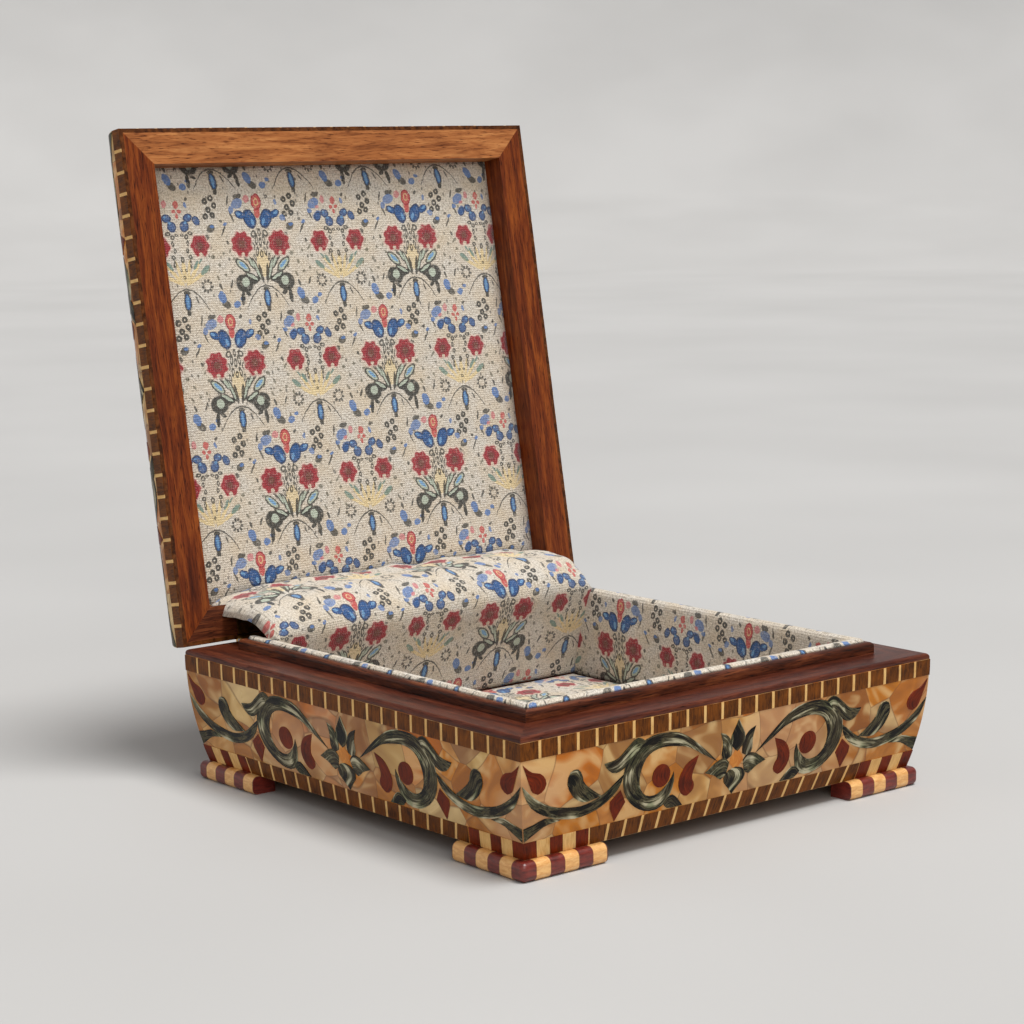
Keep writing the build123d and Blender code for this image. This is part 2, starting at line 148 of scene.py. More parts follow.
def lid_side_place(turn):
    """Places (along, height on the box's side, lift) on the lid's edge strip and dome."""

    def place(x, z, lift):
        if z <= BAND_LOW:
            half = SIDE / 2
            t = (z - FOOT_HEIGHT) / (BAND_LOW - FOOT_HEIGHT) * LID_STRIP
            out, up = 1.0, 0.0
        else:
            share = min((z - BAND_LOW) / (BAND_HIGH - BAND_LOW), 1.0)
            angle = share * math.pi / 2
            half = SIDE / 2 - DOME_REACH * (1 - math.cos(angle))
            t = LID_STRIP + DOME_RISE * math.sin(angle)
            normal = Vector((math.cos(angle) * DOME_RISE, math.sin(angle) * DOME_REACH)).normalized()
            out, up = normal
        reach = half + lift * out
        px, py = quarter_turned(x * reach * 2 / SIDE, -reach, turn)
        return on_lid(px, LID_MIDDLE - py, t + lift * up)

    return place


def lid_top_place(turn):
    """Places (along, height on the box's side, lift) as a frame on the lid's flat top."""
    outer = SIDE / 2 - DOME_REACH

    def place(x, z, lift):
        reach = outer - (z - FOOT_HEIGHT) * TOP_SQUEEZE
        px, py = quarter_turned(x * reach * 2 / SIDE, -reach, turn)
        return on_lid(px, LID_MIDDLE - py, LID_THICK + lift)

    return place


def rosette_place(angle):
    """Places (across, outwards, lift) on the lid's top, turned about its middle."""

    def place(x, z, lift):
        px = x * math.cos(angle) - z * math.sin(angle)
        py = x * math.sin(angle) + z * math.cos(angle)
        return on_lid(px, LID_MIDDLE - py, LID_THICK + lift)

    return place


# ---------------------------------------------------------------- shaders


def colour(red, green, blue):
    """A linear colour from the usual 0 to 255 values."""

    def linear(value):
        value /= 255
        return value / 12.92 if value <= 0.04045 else ((value + 0.055) / 1.055) ** 2.4

    return (linear(red), linear(green), linear(blue), 1.0)


class Shader:
    """One node material, built a node at a time."""

    def __init__(self, name):
        self.material = bpy.data.materials.new(name)
        self.material.use_nodes = True
        self.tree = self.material.node_tree
        self.surface = next(n for n in self.tree.nodes if n.type == "BSDF_PRINCIPLED")

    def node(self, kind, inputs=None, **settings):
        new = self.tree.nodes.new(kind)
        for name, value in settings.items():
            setattr(new, name, value)
        for key, value in (inputs or {}).items():
            self.feed(new.inputs[key], value)
        return new

    def feed(self, socket, value):
        if isinstance(value, bpy.types.NodeSocket):
            self.tree.links.new(value, socket)
        else:
            socket.default_value = value

    def math(self, operation, *values, clamp=False):
        new = self.node("ShaderNodeMath", dict(enumerate(values)), operation=operation, use_clamp=clamp)
        return new.outputs[0]

    def times(self, first, second):
        return self.math("MULTIPLY", first, second)

    def plus(self, first, second):
        return self.math("ADD", first, second)

    def minus(self, first, second):
        return self.math("SUBTRACT", first, second)

    def vector(self, operation, *values):
        new = self.node("ShaderNodeVectorMath", dict(enumerate(values)), operation=operation)
        return new.outputs["Value" if operation in ("LENGTH", "DOT_PRODUCT") else "Vector"]

    def stretched(self, vector, by):
        return self.vector("MULTIPLY", vector, by)

    def split(self, vector):
        return self.node("ShaderNodeSeparateXYZ", {0: vector}).outputs

    def join(self, x, y, z=0.0):
        return self.node("ShaderNodeCombineXYZ", {0: x, 1: y, 2: z}).outputs[0]

    def position(self):
        """Where the point is at rest, in millimetres."""
        metres = self.node("ShaderNodeTexCoord").outputs["Object"]
        return self.vector("MULTIPLY", metres, (1 / MM,) * 3)

    def attribute(self, name):
        return self.node("ShaderNodeAttribute", attribute_name=name).outputs["Vector"]

    def noise(self, vector, scale, detail=3.0, roughness=0.5, distortion=0.0, output="Fac"):
        inputs = {
            "Vector": vector,
            "Scale": scale,
            "Detail": detail,
            "Roughness": roughness,
            "Distortion": distortion,
        }
        return self.node("ShaderNodeTexNoise", inputs).outputs[output]

    def ramp(self, value, *stops):
        new = self.node("ShaderNodeValToRGB", {0: value})
        points = new.color_ramp.elements
        while len(points) < len(stops):
            points.new(1.0)
        for point, (at, shade) in zip(points, stops):
            point.position = at
            point.color = shade
        return new.outputs[0]

    def rise(self, value, low, high):
        """0 up to low and 1 from high; it falls instead where low is the larger."""
        inputs = {0: value, 1: low, 2: high, 3: 0.0, 4: 1.0}
        return self.node("ShaderNodeMapRange", inputs, clamp=True).outputs[0]

    def mix(self, share, first, second, blend="MIX"):
        new = self.node("ShaderNodeMix", data_type="RGBA", blend_type=blend)
        self.feed(new.inputs["Factor"], share)
        self.feed(new.inputs["A"], first)
        self.feed(new.inputs["B"], second)
        return new.outputs["Result"]

    def finish(self, base, roughness, height=None, bump=0.3, bump_mm=0.1, **constants):
        """Joins the colour, roughness and bump to the surface, and sets its constant values."""
        self.feed(self.surface.inputs["Base Color"], base)
        self.feed(self.surface.inputs["Roughness"], roughness)
        if height is not None:
            inputs = {"Height": height, "Strength": bump, "Distance": bump_mm * MM}
            self.feed(self.surface.inputs["Normal"], self.node("ShaderNodeBump", inputs).outputs[0])
        for name, value in constants.items():
            self.surface.inputs[name.replace("_", " ").title().replace("Ior", "IOR")].default_value = value
        return self.material


def wood(name, dark, middle, light, grain, roughness=0.35, coat=0.25, smudge=0.25):
    """Polished wood: long streaks and fine pores along the grain, and a little grime in patches."""
    made = Shader(name)
    to_grain = Vector(grain).rotation_difference(Vector((1, 0, 0))).to_euler()
    turned = made.node("ShaderNodeMapping", {"Vector": made.position(), "Rotation": to_grain}).outputs[0]
    streaks = made.stretched(turned, (0.035, 0.42, 0.42))
    pores = made.stretched(turned, (0.25, 4.0, 4.0))
    figure = made.noise(streaks, 1.0, detail=6.0, roughness=0.62, distortion=1.1)
    fine = made.noise(pores, 1.0, detail=3.0, roughness=0.6)
    grime = made.noise(made.position(), 0.045, detail=3.0)
    both = made.plus(made.times(figure, 0.72), made.times(fine, 0.28))
    shade = made.ramp(both, (0.34, dark), (0.5, middle), (0.68, light))
    soiled = made.mix(made.times(made.rise(grime, 0.55, 0.75), smudge), shade, dark)
    pored = made.mix(made.rise(fine, 0.42, 0.32), soiled, dark, "MULTIPLY")
    rough = made.plus(made.times(grime, 0.2), roughness - 0.08)
    gloss = {"coat_weight": coat, "coat_roughness": 0.2, "specular_ior_level": 0.2}
    return made.finish(pored, rough, fine, bump=0.3, bump_mm=0.12, **gloss)


def striped_wood():
    """Feet glued up from blocks of maple and dark red wood, mitred where the two arms meet."""
    made = Shader("striped_wood")
    x, y, _ = made.split(made.position())
    across = made.math("ABSOLUTE", x)
    along = made.math("ABSOLUTE", made.minus(y, CENTRE_Y))
    inward = made.minus(FOOT_REACH, made.math("MINIMUM", across, along))
    block = made.math("FRACT", made.math("DIVIDE", inward, 2 * FOOT_BLOCK))
    from_glue = made.math("PINGPONG", block, 0.5)
    is_light = made.rise(block, 0.49, 0.51)
    streak = made.stretched(made.position(), (0.35, 0.35, 1.6))
    figure = made.noise(streak, 1.0, detail=5.0, roughness=0.65, distortion=0.6)
    maple = made.ramp(figure, (0.3, colour(205, 140, 72)), (0.7, colour(240, 192, 124)))
    red = made.ramp(figure, (0.3, colour(72, 18, 14)), (0.7, colour(132, 44, 30)))
    glue = made.rise(from_glue, 0.016, 0.006)
    shade = made.mix(made.times(glue, 0.6), made.mix(is_light, red, maple), colour(60, 30, 16))
    rough = made.plus(made.times(figure, 0.2), 0.28)
    return made.finish(shade, rough, figure, bump=0.15, coat_weight=0.3, coat_roughness=0.2)


def pearl(name, edge_dark=None, edge_light=None):
    """Mother of pearl in fitted pieces: each has its own tint and its own run of soft pale bands, which are
    partly the shell's own layers and partly painted sheen.

    With edge colours, the lid's lower edge strip is wood instead.
    """
    made = Shader(name)
    place = made.position()
    wobble = made.noise(place, 0.05, detail=0.0, output="Color")
    bent = made.vector("ADD", place, made.stretched(wobble, (9.0, 9.0, 9.0)))
    tiles = {"Vector": bent, "Scale": 0.068, "Randomness": 0.75}
    cells = made.node("ShaderNodeTexVoronoi", tiles, feature="F1")
    joints = made.node("ShaderNodeTexVoronoi", tiles, feature="DISTANCE_TO_EDGE")
    own = made.node("ShaderNodeSeparateColor", {0: cells.outputs["Color"]}).outputs
    tint = made.ramp(
        own[0],
        (0.0, colour(160, 110, 46)),
        (0.18, colour(186, 100, 4)),
        (0.36, colour(196, 158, 94)),
        (0.52, colour(138, 82, 32)),
        (0.66, colour(196, 118, 8)),
        (0.82, colour(154, 108, 64)),
        (1.0, colour(206, 174, 120)),
    )
    spin = {"Vector": bent, "Axis": (0.3, 0.2, 0.9), "Angle": made.times(own[1], 6.28)}
    spun = made.node("ShaderNodeVectorRotate", spin).outputs[0]
    bands = made.noise(made.stretched(spun, (0.04, 0.2, 0.2)), 1.0, detail=1.2, distortion=0.4)
    # the pale bands are partly the shell's layers and partly painted sheen, a shine laid into the colour
    painted_sheen_bands = made.mix(made.times(made.rise(bands, 0.5, 0.66), 0.45), tint, colour(232, 200, 140))
    dusky = made.mix(made.times(made.rise(bands, 0.5, 0.34), 0.4), painted_sheen_bands, colour(120, 62, 12))
    blush = made.noise(place, 0.03, detail=1.0)
    rosy = made.mix(made.times(made.rise(blush, 0.52, 0.62), 0.4), dusky, colour(200, 156, 118))
    joint = made.rise(joints.outputs["Distance"], 0.016, 0.004)
    shade = made.mix(made.times(joint, 0.5), rosy, colour(104, 66, 34))
    if edge_dark:
        _, y, z = made.split(place)
        lean = made.times(made.minus(y, HINGE_Y + CENTRE_Y), LID_OUT.y)
        rise = made.times(made.minus(z, LEDGE), LID_OUT.z)
        depth = made.plus(lean, rise)
        figure = made.noise(made.stretched(place, (0.5, 0.5, 0.5)), 1.0, detail=4.0)
        strip = made.mix(made.rise(figure, 0.35, 0.65), edge_dark, edge_light)
        shade = made.mix(made.rise(depth, LID_STRIP, LID_STRIP + 0.1), strip, shade)
    rough = made.plus(made.times(bands, 0.2), 0.14)
    height = made.minus(made.times(bands, 0.2), joint)
    return made.finish(shade, rough, height, bump=0.15, bump_mm=0.12, specular_ior_level=0.3)


def abalone():
    """Dark abalone shell: grey and black layers along each piece, with green and silver glints painted into
    its colour as highlight and iridescent sheen.
    """
    made = Shader("abalone_shell")
    run = made.attribute("streak")
    place = made.position()
    layers = made.noise(made.stretched(run, (0.1, 1.0, 1.0)), 1.0, detail=4.0, roughness=0.6, distortion=0.7)
    sheets = made.noise(made.stretched(run, (0.1, 0.34, 1.0)), 1.0, detail=1.5, distortion=0.4)
    both = made.plus(made.times(layers, 0.45), made.times(sheets, 0.55))
    # the palest stops are the shell's pale layers, brightened further as painted highlight
    shade = made.ramp(
        both,
        (0.4, colour(6, 5, 3)),
        (0.455, colour(22, 18, 10)),
        (0.49, colour(92, 84, 58)),
        (0.515, colour(20, 18, 10)),
        (0.56, colour(110, 104, 78)),
        (0.61, colour(188, 180, 150)),
    )
    spots = made.noise(place, 0.14, detail=2.0)
    # painted glints: a green iridescent sheen laid on in patches
    green = made.mix(made.times(made.rise(spots, 0.54, 0.62), 0.45), shade, colour(66, 104, 66), "OVERLAY")
    dull = made.mix(made.times(made.rise(spots, 0.48, 0.34), 0.6), green, colour(40, 30, 18))
    rough = made.plus(made.times(layers, 0.25), 0.15)
    return made.finish(dull, rough, layers, bump=0.12, bump_mm=0.1, specular_ior_level=0.15)


def inlay_wood(name, dark, light):
    """Small pieces of dense wood, each with streaks along it."""
    made = Shader(name)
    run = made.attribute("streak")
    streak = made.stretched(run, (0.25, 1.6, 1.0))
    figure = made.noise(streak, 1.0, detail=5.0, roughness=0.65, distortion=0.8)
    patch = made.noise(made.position(), 0.2, detail=1.0)
    both = made.plus(made.times(figure, 0.7), made.times(patch, 0.3))
    shade = made.ramp(both, (0.35, dark), (0.65, light))
    rough = made.plus(made.times(figure, 0.25), 0.22)
    return made.finish(shade, rough, figure, bump=0.15, specular_ior_level=0.12)


def metal(name, tone, tarnish, roughness):
    """Turned or pressed metal: fine brushing, and tarnish in patches."""
    made = Shader(name)
    place = made.position()
    brushed = made.noise(made.stretched(place, (0.6, 6.0, 6.0)), 1.0, detail=3.0)
    patches = made.noise(place, 0.35, detail=4.0, roughness=0.65)
    shade = made.mix(made.rise(patches, 0.42, 0.72), tone, tarnish)
    rough = made.plus(made.times(patches, 0.3), roughness - 0.1)
    return made.finish(shade, rough, brushed, bump=0.12, bump_mm=0.05, metallic=1.0)


class Print:
    """The shapes of one motif: each is an oval, and the nearest one decides its colour."""

    def __init__(self, made, vector):
        self.made = made
        self.vector = vector
        x, y, _ = made.split(vector)
        self.mirrored = made.join(made.math("ABSOLUTE", x), y)

    def oval(self, x, y, wide, high, lean=0, mirror=True):
        """How far a point is from an oval's middle, 1 being its edge."""
        inputs = {
            "Vector": self.mirrored if mirror else self.vector,
            "Location": (x, y, 0),
            "Rotation": (0, 0, math.radians(lean)),
            "Scale": (wide, high, 1),
        }
        local = self.made.node("ShaderNodeMapping", inputs, vector_type="TEXTURE").outputs[0]
        return local, self.made.vector("LENGTH", local)

    def ovals(self, shapes, mirror=True):
        nearest = None
        for shape in shapes:
            distance = self.oval(*shape, mirror=mirror)[1]
            nearest = distance if nearest is None else self.made.math("MINIMUM", nearest, distance)
        return nearest

    def scalloped(self, x, y, wide, high, lobes, depth=0.08):
        """An oval with a lobed edge, as a carnation has."""
        made = self.made
        local, distance = self.oval(x, y, wide, high)
        px, py, _ = made.split(local)
        turn = made.times(made.math("ARCTAN2", px, py), float(lobes))
        lobe = made.times(made.math("COSINE", turn), depth)
        return made.plus(distance, lobe), distance

    def arch(self, top, bend, reach, width=0.3):
        """A thin line that curves down on both sides from the middle."""
        made = self.made
        x, y, _ = made.split(self.mirrored)
        line = made.minus(top, made.times(made.times(x, x), bend))
        off = made.math("DIVIDE", made.math("ABSOLUTE", made.minus(y, line)), width)
        past = made.times(made.math("MAXIMUM", made.minus(x, reach), 0.0), 4.0)
        return made.plus(off, past)


# Each oval is (x, y, half its width, half its height, lean in degrees), from the motif's own middle,
# where its pair of carnations is. The ones named _one_side aren't mirrored.
LARGE_BLUE = [(3.1, 8.0, 2.3, 3.4, -24), (6.6, 9.4, 2.1, 1.3, 26)]
LARGE_PALE_BLUE = [
    (2.1, 7.0, 0.55, 1.3, -20), (7.2, 9.8, 1.0, 0.5, 30), (0, -17.6, 0.6, 2.2, 0),
    (7.8, -6.8, 0.6, 1.9, -48),
]
LARGE_LAVENDER_ONE_SIDE = [
    (-7.4, 13.0, 2.4, 1.7, 20), (-9.8, 11.0, 1.0, 1.3, 0), (7.4, 13.2, 0.6, 1.0, 0),
    (9.6, 8.0, 1.2, 1.0, -30),
]
LARGE_PINK_ONE_SIDE = [(-3.7, 14.5, 1.3, 1.3, 0)]
LARGE_BUD = [(0, 13.4, 2.0, 2.7, 0), (0, 10.4, 1.2, 2.4, 0)]
LARGE_CORE = [(0, 13.4, 0.9, 1.4, 0)]
LARGE_LEAVES = [
    (7.9, -6.9, 1.6, 3.5, -48), (4.7, -5.7, 1.0, 3.2, -30), (2.7, -8.2, 0.9, 4.2, -20),
    (4.8, -10.6, 1.0, 3.2, -62), (6.4, -4.4, 0.6, 2.2, -36), (1.2, -9.6, 0.6, 3.4, -8),
]
LARGE_LEAF_HEARTS = [
    (7.9, -6.9, 1.05, 2.8, -48), (4.7, -5.7, 0.5, 2.4, -30), (2.7, -8.2, 0.4, 3.4, -20),
    (4.8, -10.6, 0.5, 2.4, -62),
]
LARGE_CURLS = [
    (8.0, -12.6, 3.5, 3.1, 10), (4.2, -11.9, 2.7, 1.1, -24), (9.2, -17.2, 0.8, 2.6, 6),
    (7.0, -16.0, 1.2, 0.7, 30),
]
LARGE_CURL_HEARTS = [(7.6, -12.2, 1.5, 1.6, 20)]
LARGE_STEM = [
    (2.3, 3.2, 1.0, 1.3, 30), (1.4, 1.2, 0.6, 1.9, 8), (2.9, -0.6, 0.7, 1.5, -10),
    (1.5, -2.6, 0.6, 1.7, 10), (2.7, -4.4, 0.5, 1.4, -14), (0, -3.4, 0.7, 1.3, 0),
    (0, 3.6, 0.6, 1.4, 0), (0, 0.4, 0.6, 1.6, 0),
]
SMALL_BLUE = [(3.8, 9.0, 1.7, 1.4, 20), (2.3, 6.3, 1.7, 1.8, -20), (6.8, 8.0, 1.3, 1.8, 30)]
SMALL_PALE_BLUE = [(2.9, 7.5, 0.6, 0.5, 0), (4.4, 9.3, 0.5, 0.4, 0), (0, -17.6, 0.6, 2.2, 0)]
SMALL_LAVENDER_ONE_SIDE = [
    (-8.0, 12.4, 2.5, 1.7, 30), (-6.8, 8.4, 2.0, 1.4, 40), (-9.8, 9.9, 1.0, 0.8, 0),
    (3.5, 13.0, 0.6, 1.1, 20),
]
SMALL_PINK_ONE_SIDE = [(-4.2, 13.6, 0.9, 1.4, 0), (-6.6, 11.2, 0.9, 0.6, 20)]
SMALL_BUD = [(0, 13.2, 1.1, 1.4, 0), (1.0, 11.1, 0.8, 0.7, 0), (0, 9.6, 0.6, 0.9, 0)]
SMALL_FAN = [
    (1.7, -8.4, 0.6, 4.6, -14), (3.6, -8.6, 0.6, 5.0, -38), (5.2, -9.8, 0.6, 5.2, -60),
    (0, -8.2, 0.9, 3.8, 0),
]
SMALL_TIPS = [(8.0, -7.7, 0.9, 2.3, -50), (4.7, -6.1, 0.6, 1.9, -32), (6.6, -4.8, 0.35, 1.3, -40)]
SMALL_CHAIN = [
    (4.0, 4.1, 1.0, 0.7, 0), (2.5, 3.0, 0.8, 0.9, 0), (1.0, 3.6, 0.7, 0.5, 0), (2.8, 0.9, 0.6, 1.0, 0),
    (2.3, -1.3, 0.6, 0.9, 0), (3.1, -3.4, 0.8, 0.8, 0), (2.9, -5.6, 0.45, 1.4, 0),
    (0, -4.2, 0.7, 1.1, 0), (0.9, -7.6, 0.45, 0.45, 0), (0, -9.8, 0.5, 0.6, 0),
]
PENDANT_DARK = [
    (0, -17.7, 1.5, 3.3, 0), (0, -21.0, 0.8, 1.4, 0), (0, -14.7, 1.3, 0.8, 0),
    (-3.0, -16.6, 0.35, 3.2, -44),
]
PENDANT_BLUE = [(0, -17.6, 1.1, 2.7, 0)]
LEAF_ONE_SIDE = [(-6.9, 15.4, 1.7, 1.0, 15), (3.6, -16.9, 0.35, 1.3, 20), (4.0, 15.0, 0.8, 0.5, 40)]
BERRIES = [(-2.0, 15.0), (-4.3, 14.0), (-1.0, 12.6), (-3.3, 11.3), (-4.6, 9.2), (-2.0, 9.6)]
BETWEEN_DARK = [
    (-3.1, 5.3, 1.7, 1.3, 30), (-0.6, -19.0, 1.9, 1.3, -30), (-5.0, 2.6, 0.9, 1.0, 0),
    (1.6, 4.6, 0.35, 2.2, -30), (5.2, 9.0, 0.35, 2.1, 24), (4.3, 14.2, 0.35, 1.8, -12),
    (2.6, 0.6, 0.5, 0.8, 20), (-2.0, -13.2, 0.5, 1.2, 20), (2.2, -12.6, 0.4, 1.5, -24),
    (0.8, 7.6, 0.6, 0.5, 0),
]
BETWEEN_BLUE = [
    (-1.9, -16.6, 1.5, 2.1, 20), (3.4, -19.2, 1.4, 1.2, 20), (-2.6, 5.9, 0.9, 0.6, 0),
    (5.6, -17.4, 0.9, 0.7, 0), (2.4, 6.6, 0.9, 0.6, 30),
]
BETWEEN_DOTS = [
    (-4.2, -0.4, 0.7, 0.9, 0), (-6.4, -3.4, 0.6, 0.7, 0), (-3.6, -3.6, 0.8, 0.7, 0),
    (3.6, -1.6, 0.4, 1.5, -40), (-1.4, -6.4, 0.5, 0.8, 20), (2.9, -8.6, 0.5, 0.6, 0),
    (-2.6, -10.4, 0.4, 1.0, 30), (4.2, -4.6, 0.6, 0.5, 0), (0.6, -2.8, 0.5, 0.6, 0),
    (-5.6, -7.4, 0.5, 0.9, -20), (0.4, -9.6, 0.6, 0.5, 0), (5.6, -10.6, 0.4, 0.9, 20),
]

CREAM = colour(220, 206, 182)
INK = colour(28, 30, 24)
OLIVE = colour(70, 68, 42)
RED = colour(158, 26, 40)
BRICK = colour(196, 62, 58)
BLUE = colour(16, 80, 140)
NAVY = colour(14, 38, 78)
PALE_BLUE = colour(110, 160, 204)
LAVENDER = colour(80, 120, 178)
PINK = colour(206, 112, 118)
STRAW = colour(232, 206, 148)
SAGE = colour(112, 140, 128)
MINT = colour(190, 200, 180)
USUAL = 0.92  # how strongly most of the ink covers


def printed_cloth():
    """Coarse cream cotton, printed with rows of lotus and carnation sprays."""
    made = Shader("printed_cloth")
    raw = made.attribute("print")
    wander = made.noise(raw, 0.9, detail=2.0, output="Color")
    shake = made.stretched(made.vector("SUBTRACT", wander, (0.5, 0.5, 0.5)), (0.75, 0.75, 0.0))
    x, y, _ = made.split(made.vector("ADD", raw, shake))
    row = made.math("FLOOR", made.math("DIVIDE", y, ROW))
    local_y = made.minus(made.minus(y, made.times(row, ROW)), MOTIF_HEIGHT)
    slid = made.plus(x, made.times(made.math("PINGPONG", row, 1.0), ROW_SHIFT))

    def column(offset, period):
        shifted = made.plus(slid, offset)
        return made.math("WRAP", shifted, period / 2, -period / 2)

    large = Print(made, made.join(column(0.0, 2 * COLUMN), local_y))
    small = Print(made, made.join(column(COLUMN, 2 * COLUMN), local_y))
    either = Print(made, made.join(column(0.0, COLUMN), local_y))
    between = Print(made, made.join(column(COLUMN / 2, COLUMN), local_y))

    fade = made.noise(raw, 0.6, detail=3.0, roughness=0.7)
    weak = made.rise(fade, 0.16, 0.44)

    grain = made.noise(raw, 1.5, detail=4.0, roughness=0.7)
    mottled = made.noise(raw, 0.1, detail=2.0)
    ground = made.mix(made.rise(grain, 0.3, 0.7), colour(176, 164, 148), colour(240, 233, 220))
    shade = made.mix(made.rise(mottled, 0.35, 0.7), ground, made.mix(0.5, ground, colour(214, 190, 152)))

    def lay(under, distance, ink, strength, soft=0.12):
        covered = made.times(made.rise(distance, 1.0, 1.0 - soft), strength)
        return made.mix(made.times(covered, weak), under, ink)

    def ring(distance, thick):
        return made.math("DIVIDE", made.math("ABSOLUTE", made.minus(distance, 1.0 - thick / 2)), thick / 2)

    # stray dashes over the whole ground
    dashes = {"Vector": made.stretched(raw, (1.0, 0.55, 1.0)), "Scale": 0.4, "Randomness": 1.0}
    dash = made.node("ShaderNodeTexVoronoi", dashes, feature="F1").outputs["Distance"]
    shade = lay(shade, made.times(dash, 6.0), INK, 0.7, soft=0.35)

    berries = between.ovals([(bx, by, 1.05, 1.1) for bx, by in BERRIES], mirror=False)
    wreath, reach = small.scalloped(8.0, -12.8, 2.3, 2.3, 9, depth=0.35)
    layers = [
        # what stands between the sprays
        (between.ovals(BETWEEN_DOTS, mirror=False), OLIVE, 0.7),
        (between.ovals(BETWEEN_DARK, mirror=False), INK, 0.85),
        (between.ovals(BETWEEN_BLUE, mirror=False), LAVENDER, USUAL),
        (ring(berries, 0.8), INK, USUAL),
        # what both sprays have
        (either.ovals(LEAF_ONE_SIDE, mirror=False), INK, 0.85),
        (either.arch(-13.6, 0.11, 7.8), INK, 0.85),
        (either.ovals(PENDANT_DARK), INK, USUAL),
        (either.ovals(PENDANT_BLUE), BLUE, USUAL),
        # the large spray
        (large.ovals([(0, -6.6, 2.6, 4.6, 0)]), STRAW, 0.6),
        (large.ovals(LARGE_CURLS), INK, 0.95),
        (large.ovals(LARGE_CURL_HEARTS), MINT, USUAL),
        (large.ovals(LARGE_LEAVES), INK, USUAL),
        (large.ovals(LARGE_LEAF_HEARTS), MINT, 0.9),
        (ring(large.ovals(LARGE_STEM), 0.6), INK, 0.85),
        (large.ovals(LARGE_LAVENDER_ONE_SIDE, mirror=False), LAVENDER, 0.8),
        (large.ovals(LARGE_PINK_ONE_SIDE, mirror=False), PINK, 0.8),
        (large.ovals(LARGE_BLUE), BLUE, 1.0),
        (ring(large.ovals(LARGE_BLUE), 0.24), NAVY, 0.8),
        (large.ovals(LARGE_PALE_BLUE), PALE_BLUE, USUAL),
        (large.ovals(LARGE_BUD), BRICK, USUAL),
        (ring(large.ovals(LARGE_BUD[:1]), 0.2), RED, USUAL),
        (ring(large.ovals(LARGE_CORE), 0.4), STRAW, 0.7),
        # the small spray
        (small.ovals(SMALL_FAN), STRAW, 0.85),
        (small.ovals(SMALL_TIPS), SAGE, USUAL),
        (ring(small.ovals(SMALL_CHAIN), 0.7), INK, 0.85),
        (made.math("MAXIMUM", wreath, ring(reach, 0.5)), INK, 0.85),
        (small.ovals(SMALL_LAVENDER_ONE_SIDE, mirror=False), LAVENDER, 0.85),
        (small.ovals(SMALL_PINK_ONE_SIDE, mirror=False), PINK, 0.8),
        (small.ovals(SMALL_BLUE), BLUE, USUAL),
        (ring(small.ovals(SMALL_BLUE), 0.3), NAVY, 0.7),
        (small.ovals(SMALL_PALE_BLUE), PALE_BLUE, 0.8),
        (small.ovals(SMALL_BUD), BRICK, 0.85),
    ]
    for distance, ink, strength in layers:
        shade = lay(shade, distance, ink, strength)

    # the carnations
    for spray, half, lobes in ((large, 4.1, 8), (small, 3.5, 6)):
        edge, middle = spray.scalloped(CARNATION_X, 0.0, half, half * 1.04, lobes)
        shade = lay(shade, made.times(edge, 0.86), colour(236, 208, 192), 0.6)
        shade = lay(shade, edge, RED, 1.0)
        shade = lay(shade, ring(made.times(middle, 1.9), 0.5), colour(110, 30, 36), 0.6)
        shade = lay(shade, made.times(middle, 3.2), OLIVE, 0.6)
        shade = lay(shade, spray.ovals([(CARNATION_X, -half * 0.78, 0.75, 0.7)]), CREAM, 0.85)

    # the weave, which also breaks up the ink, with painted highlight on its raised grain and painted shade
    # in its low places
    thread = {"Vector": raw, "Scale": 0.42, "Distortion": 0.6, "Detail": 2.0}
    threads_x = made.node("ShaderNodeTexWave", thread, bands_direction="X")
    threads_y = made.node("ShaderNodeTexWave", thread, bands_direction="Y")
    weave = made.times(threads_x.outputs["Fac"], threads_y.outputs["Fac"])
    height = made.plus(made.times(weave, 0.4), grain)
    # painted shade: dark specks where the grain lies low
    weave_painted_shade = made.mix(made.times(made.rise(grain, 0.5, 0.3), 0.5), shade, colour(92, 80, 64))
    # painted highlight: pale specks where the grain stands high
    lit = made.mix(made.times(made.rise(grain, 0.54, 0.7), 0.25), weave_painted_shade, colour(242, 236, 226))
    rough = made.plus(made.times(grain, 0.1), 0.78)
    return made.finish(lit, rough, height, bump=0.8, bump_mm=0.5, sheen_weight=0.25, sheen_roughness=0.5)


# ---------------------------------------------------------------- inlay pieces


def evenly(dense, count):
    """So many points, evenly spaced along a line of points."""
    steps = np.concatenate([[0], np.cumsum(np.linalg.norm(np.diff(dense, axis=0), axis=1))])
    wanted = np.linspace(0, steps[-1], count)
    return [tuple(float(np.interp(w, steps, dense[:, axis])) for axis in (0, 1)) for w in wanted]


def through(points, count):
    """So many points, evenly spaced, on a smooth curve through the given ones."""
    held = np.array([points[0], *points, points[-1]], float)
    dense = []
    for a, b, c, d in zip(held, held[1:], held[2:], held[3:]):
        slope, bend, twist = c - a, 2 * a - 5 * b + 4 * c - d, 3 * b - a - 3 * c + d
        for u in np.linspace(0, 1, 12, endpoint=False):
            dense.append(0.5 * (2 * b + slope * u + bend * u**2 + twist * u**3))
    return evenly(np.array([*dense, held[-1]]), count)


def straight(points, count):
    """So many points, evenly spaced, on the straight runs between the given ones."""
    return evenly(np.array(points, float), count)


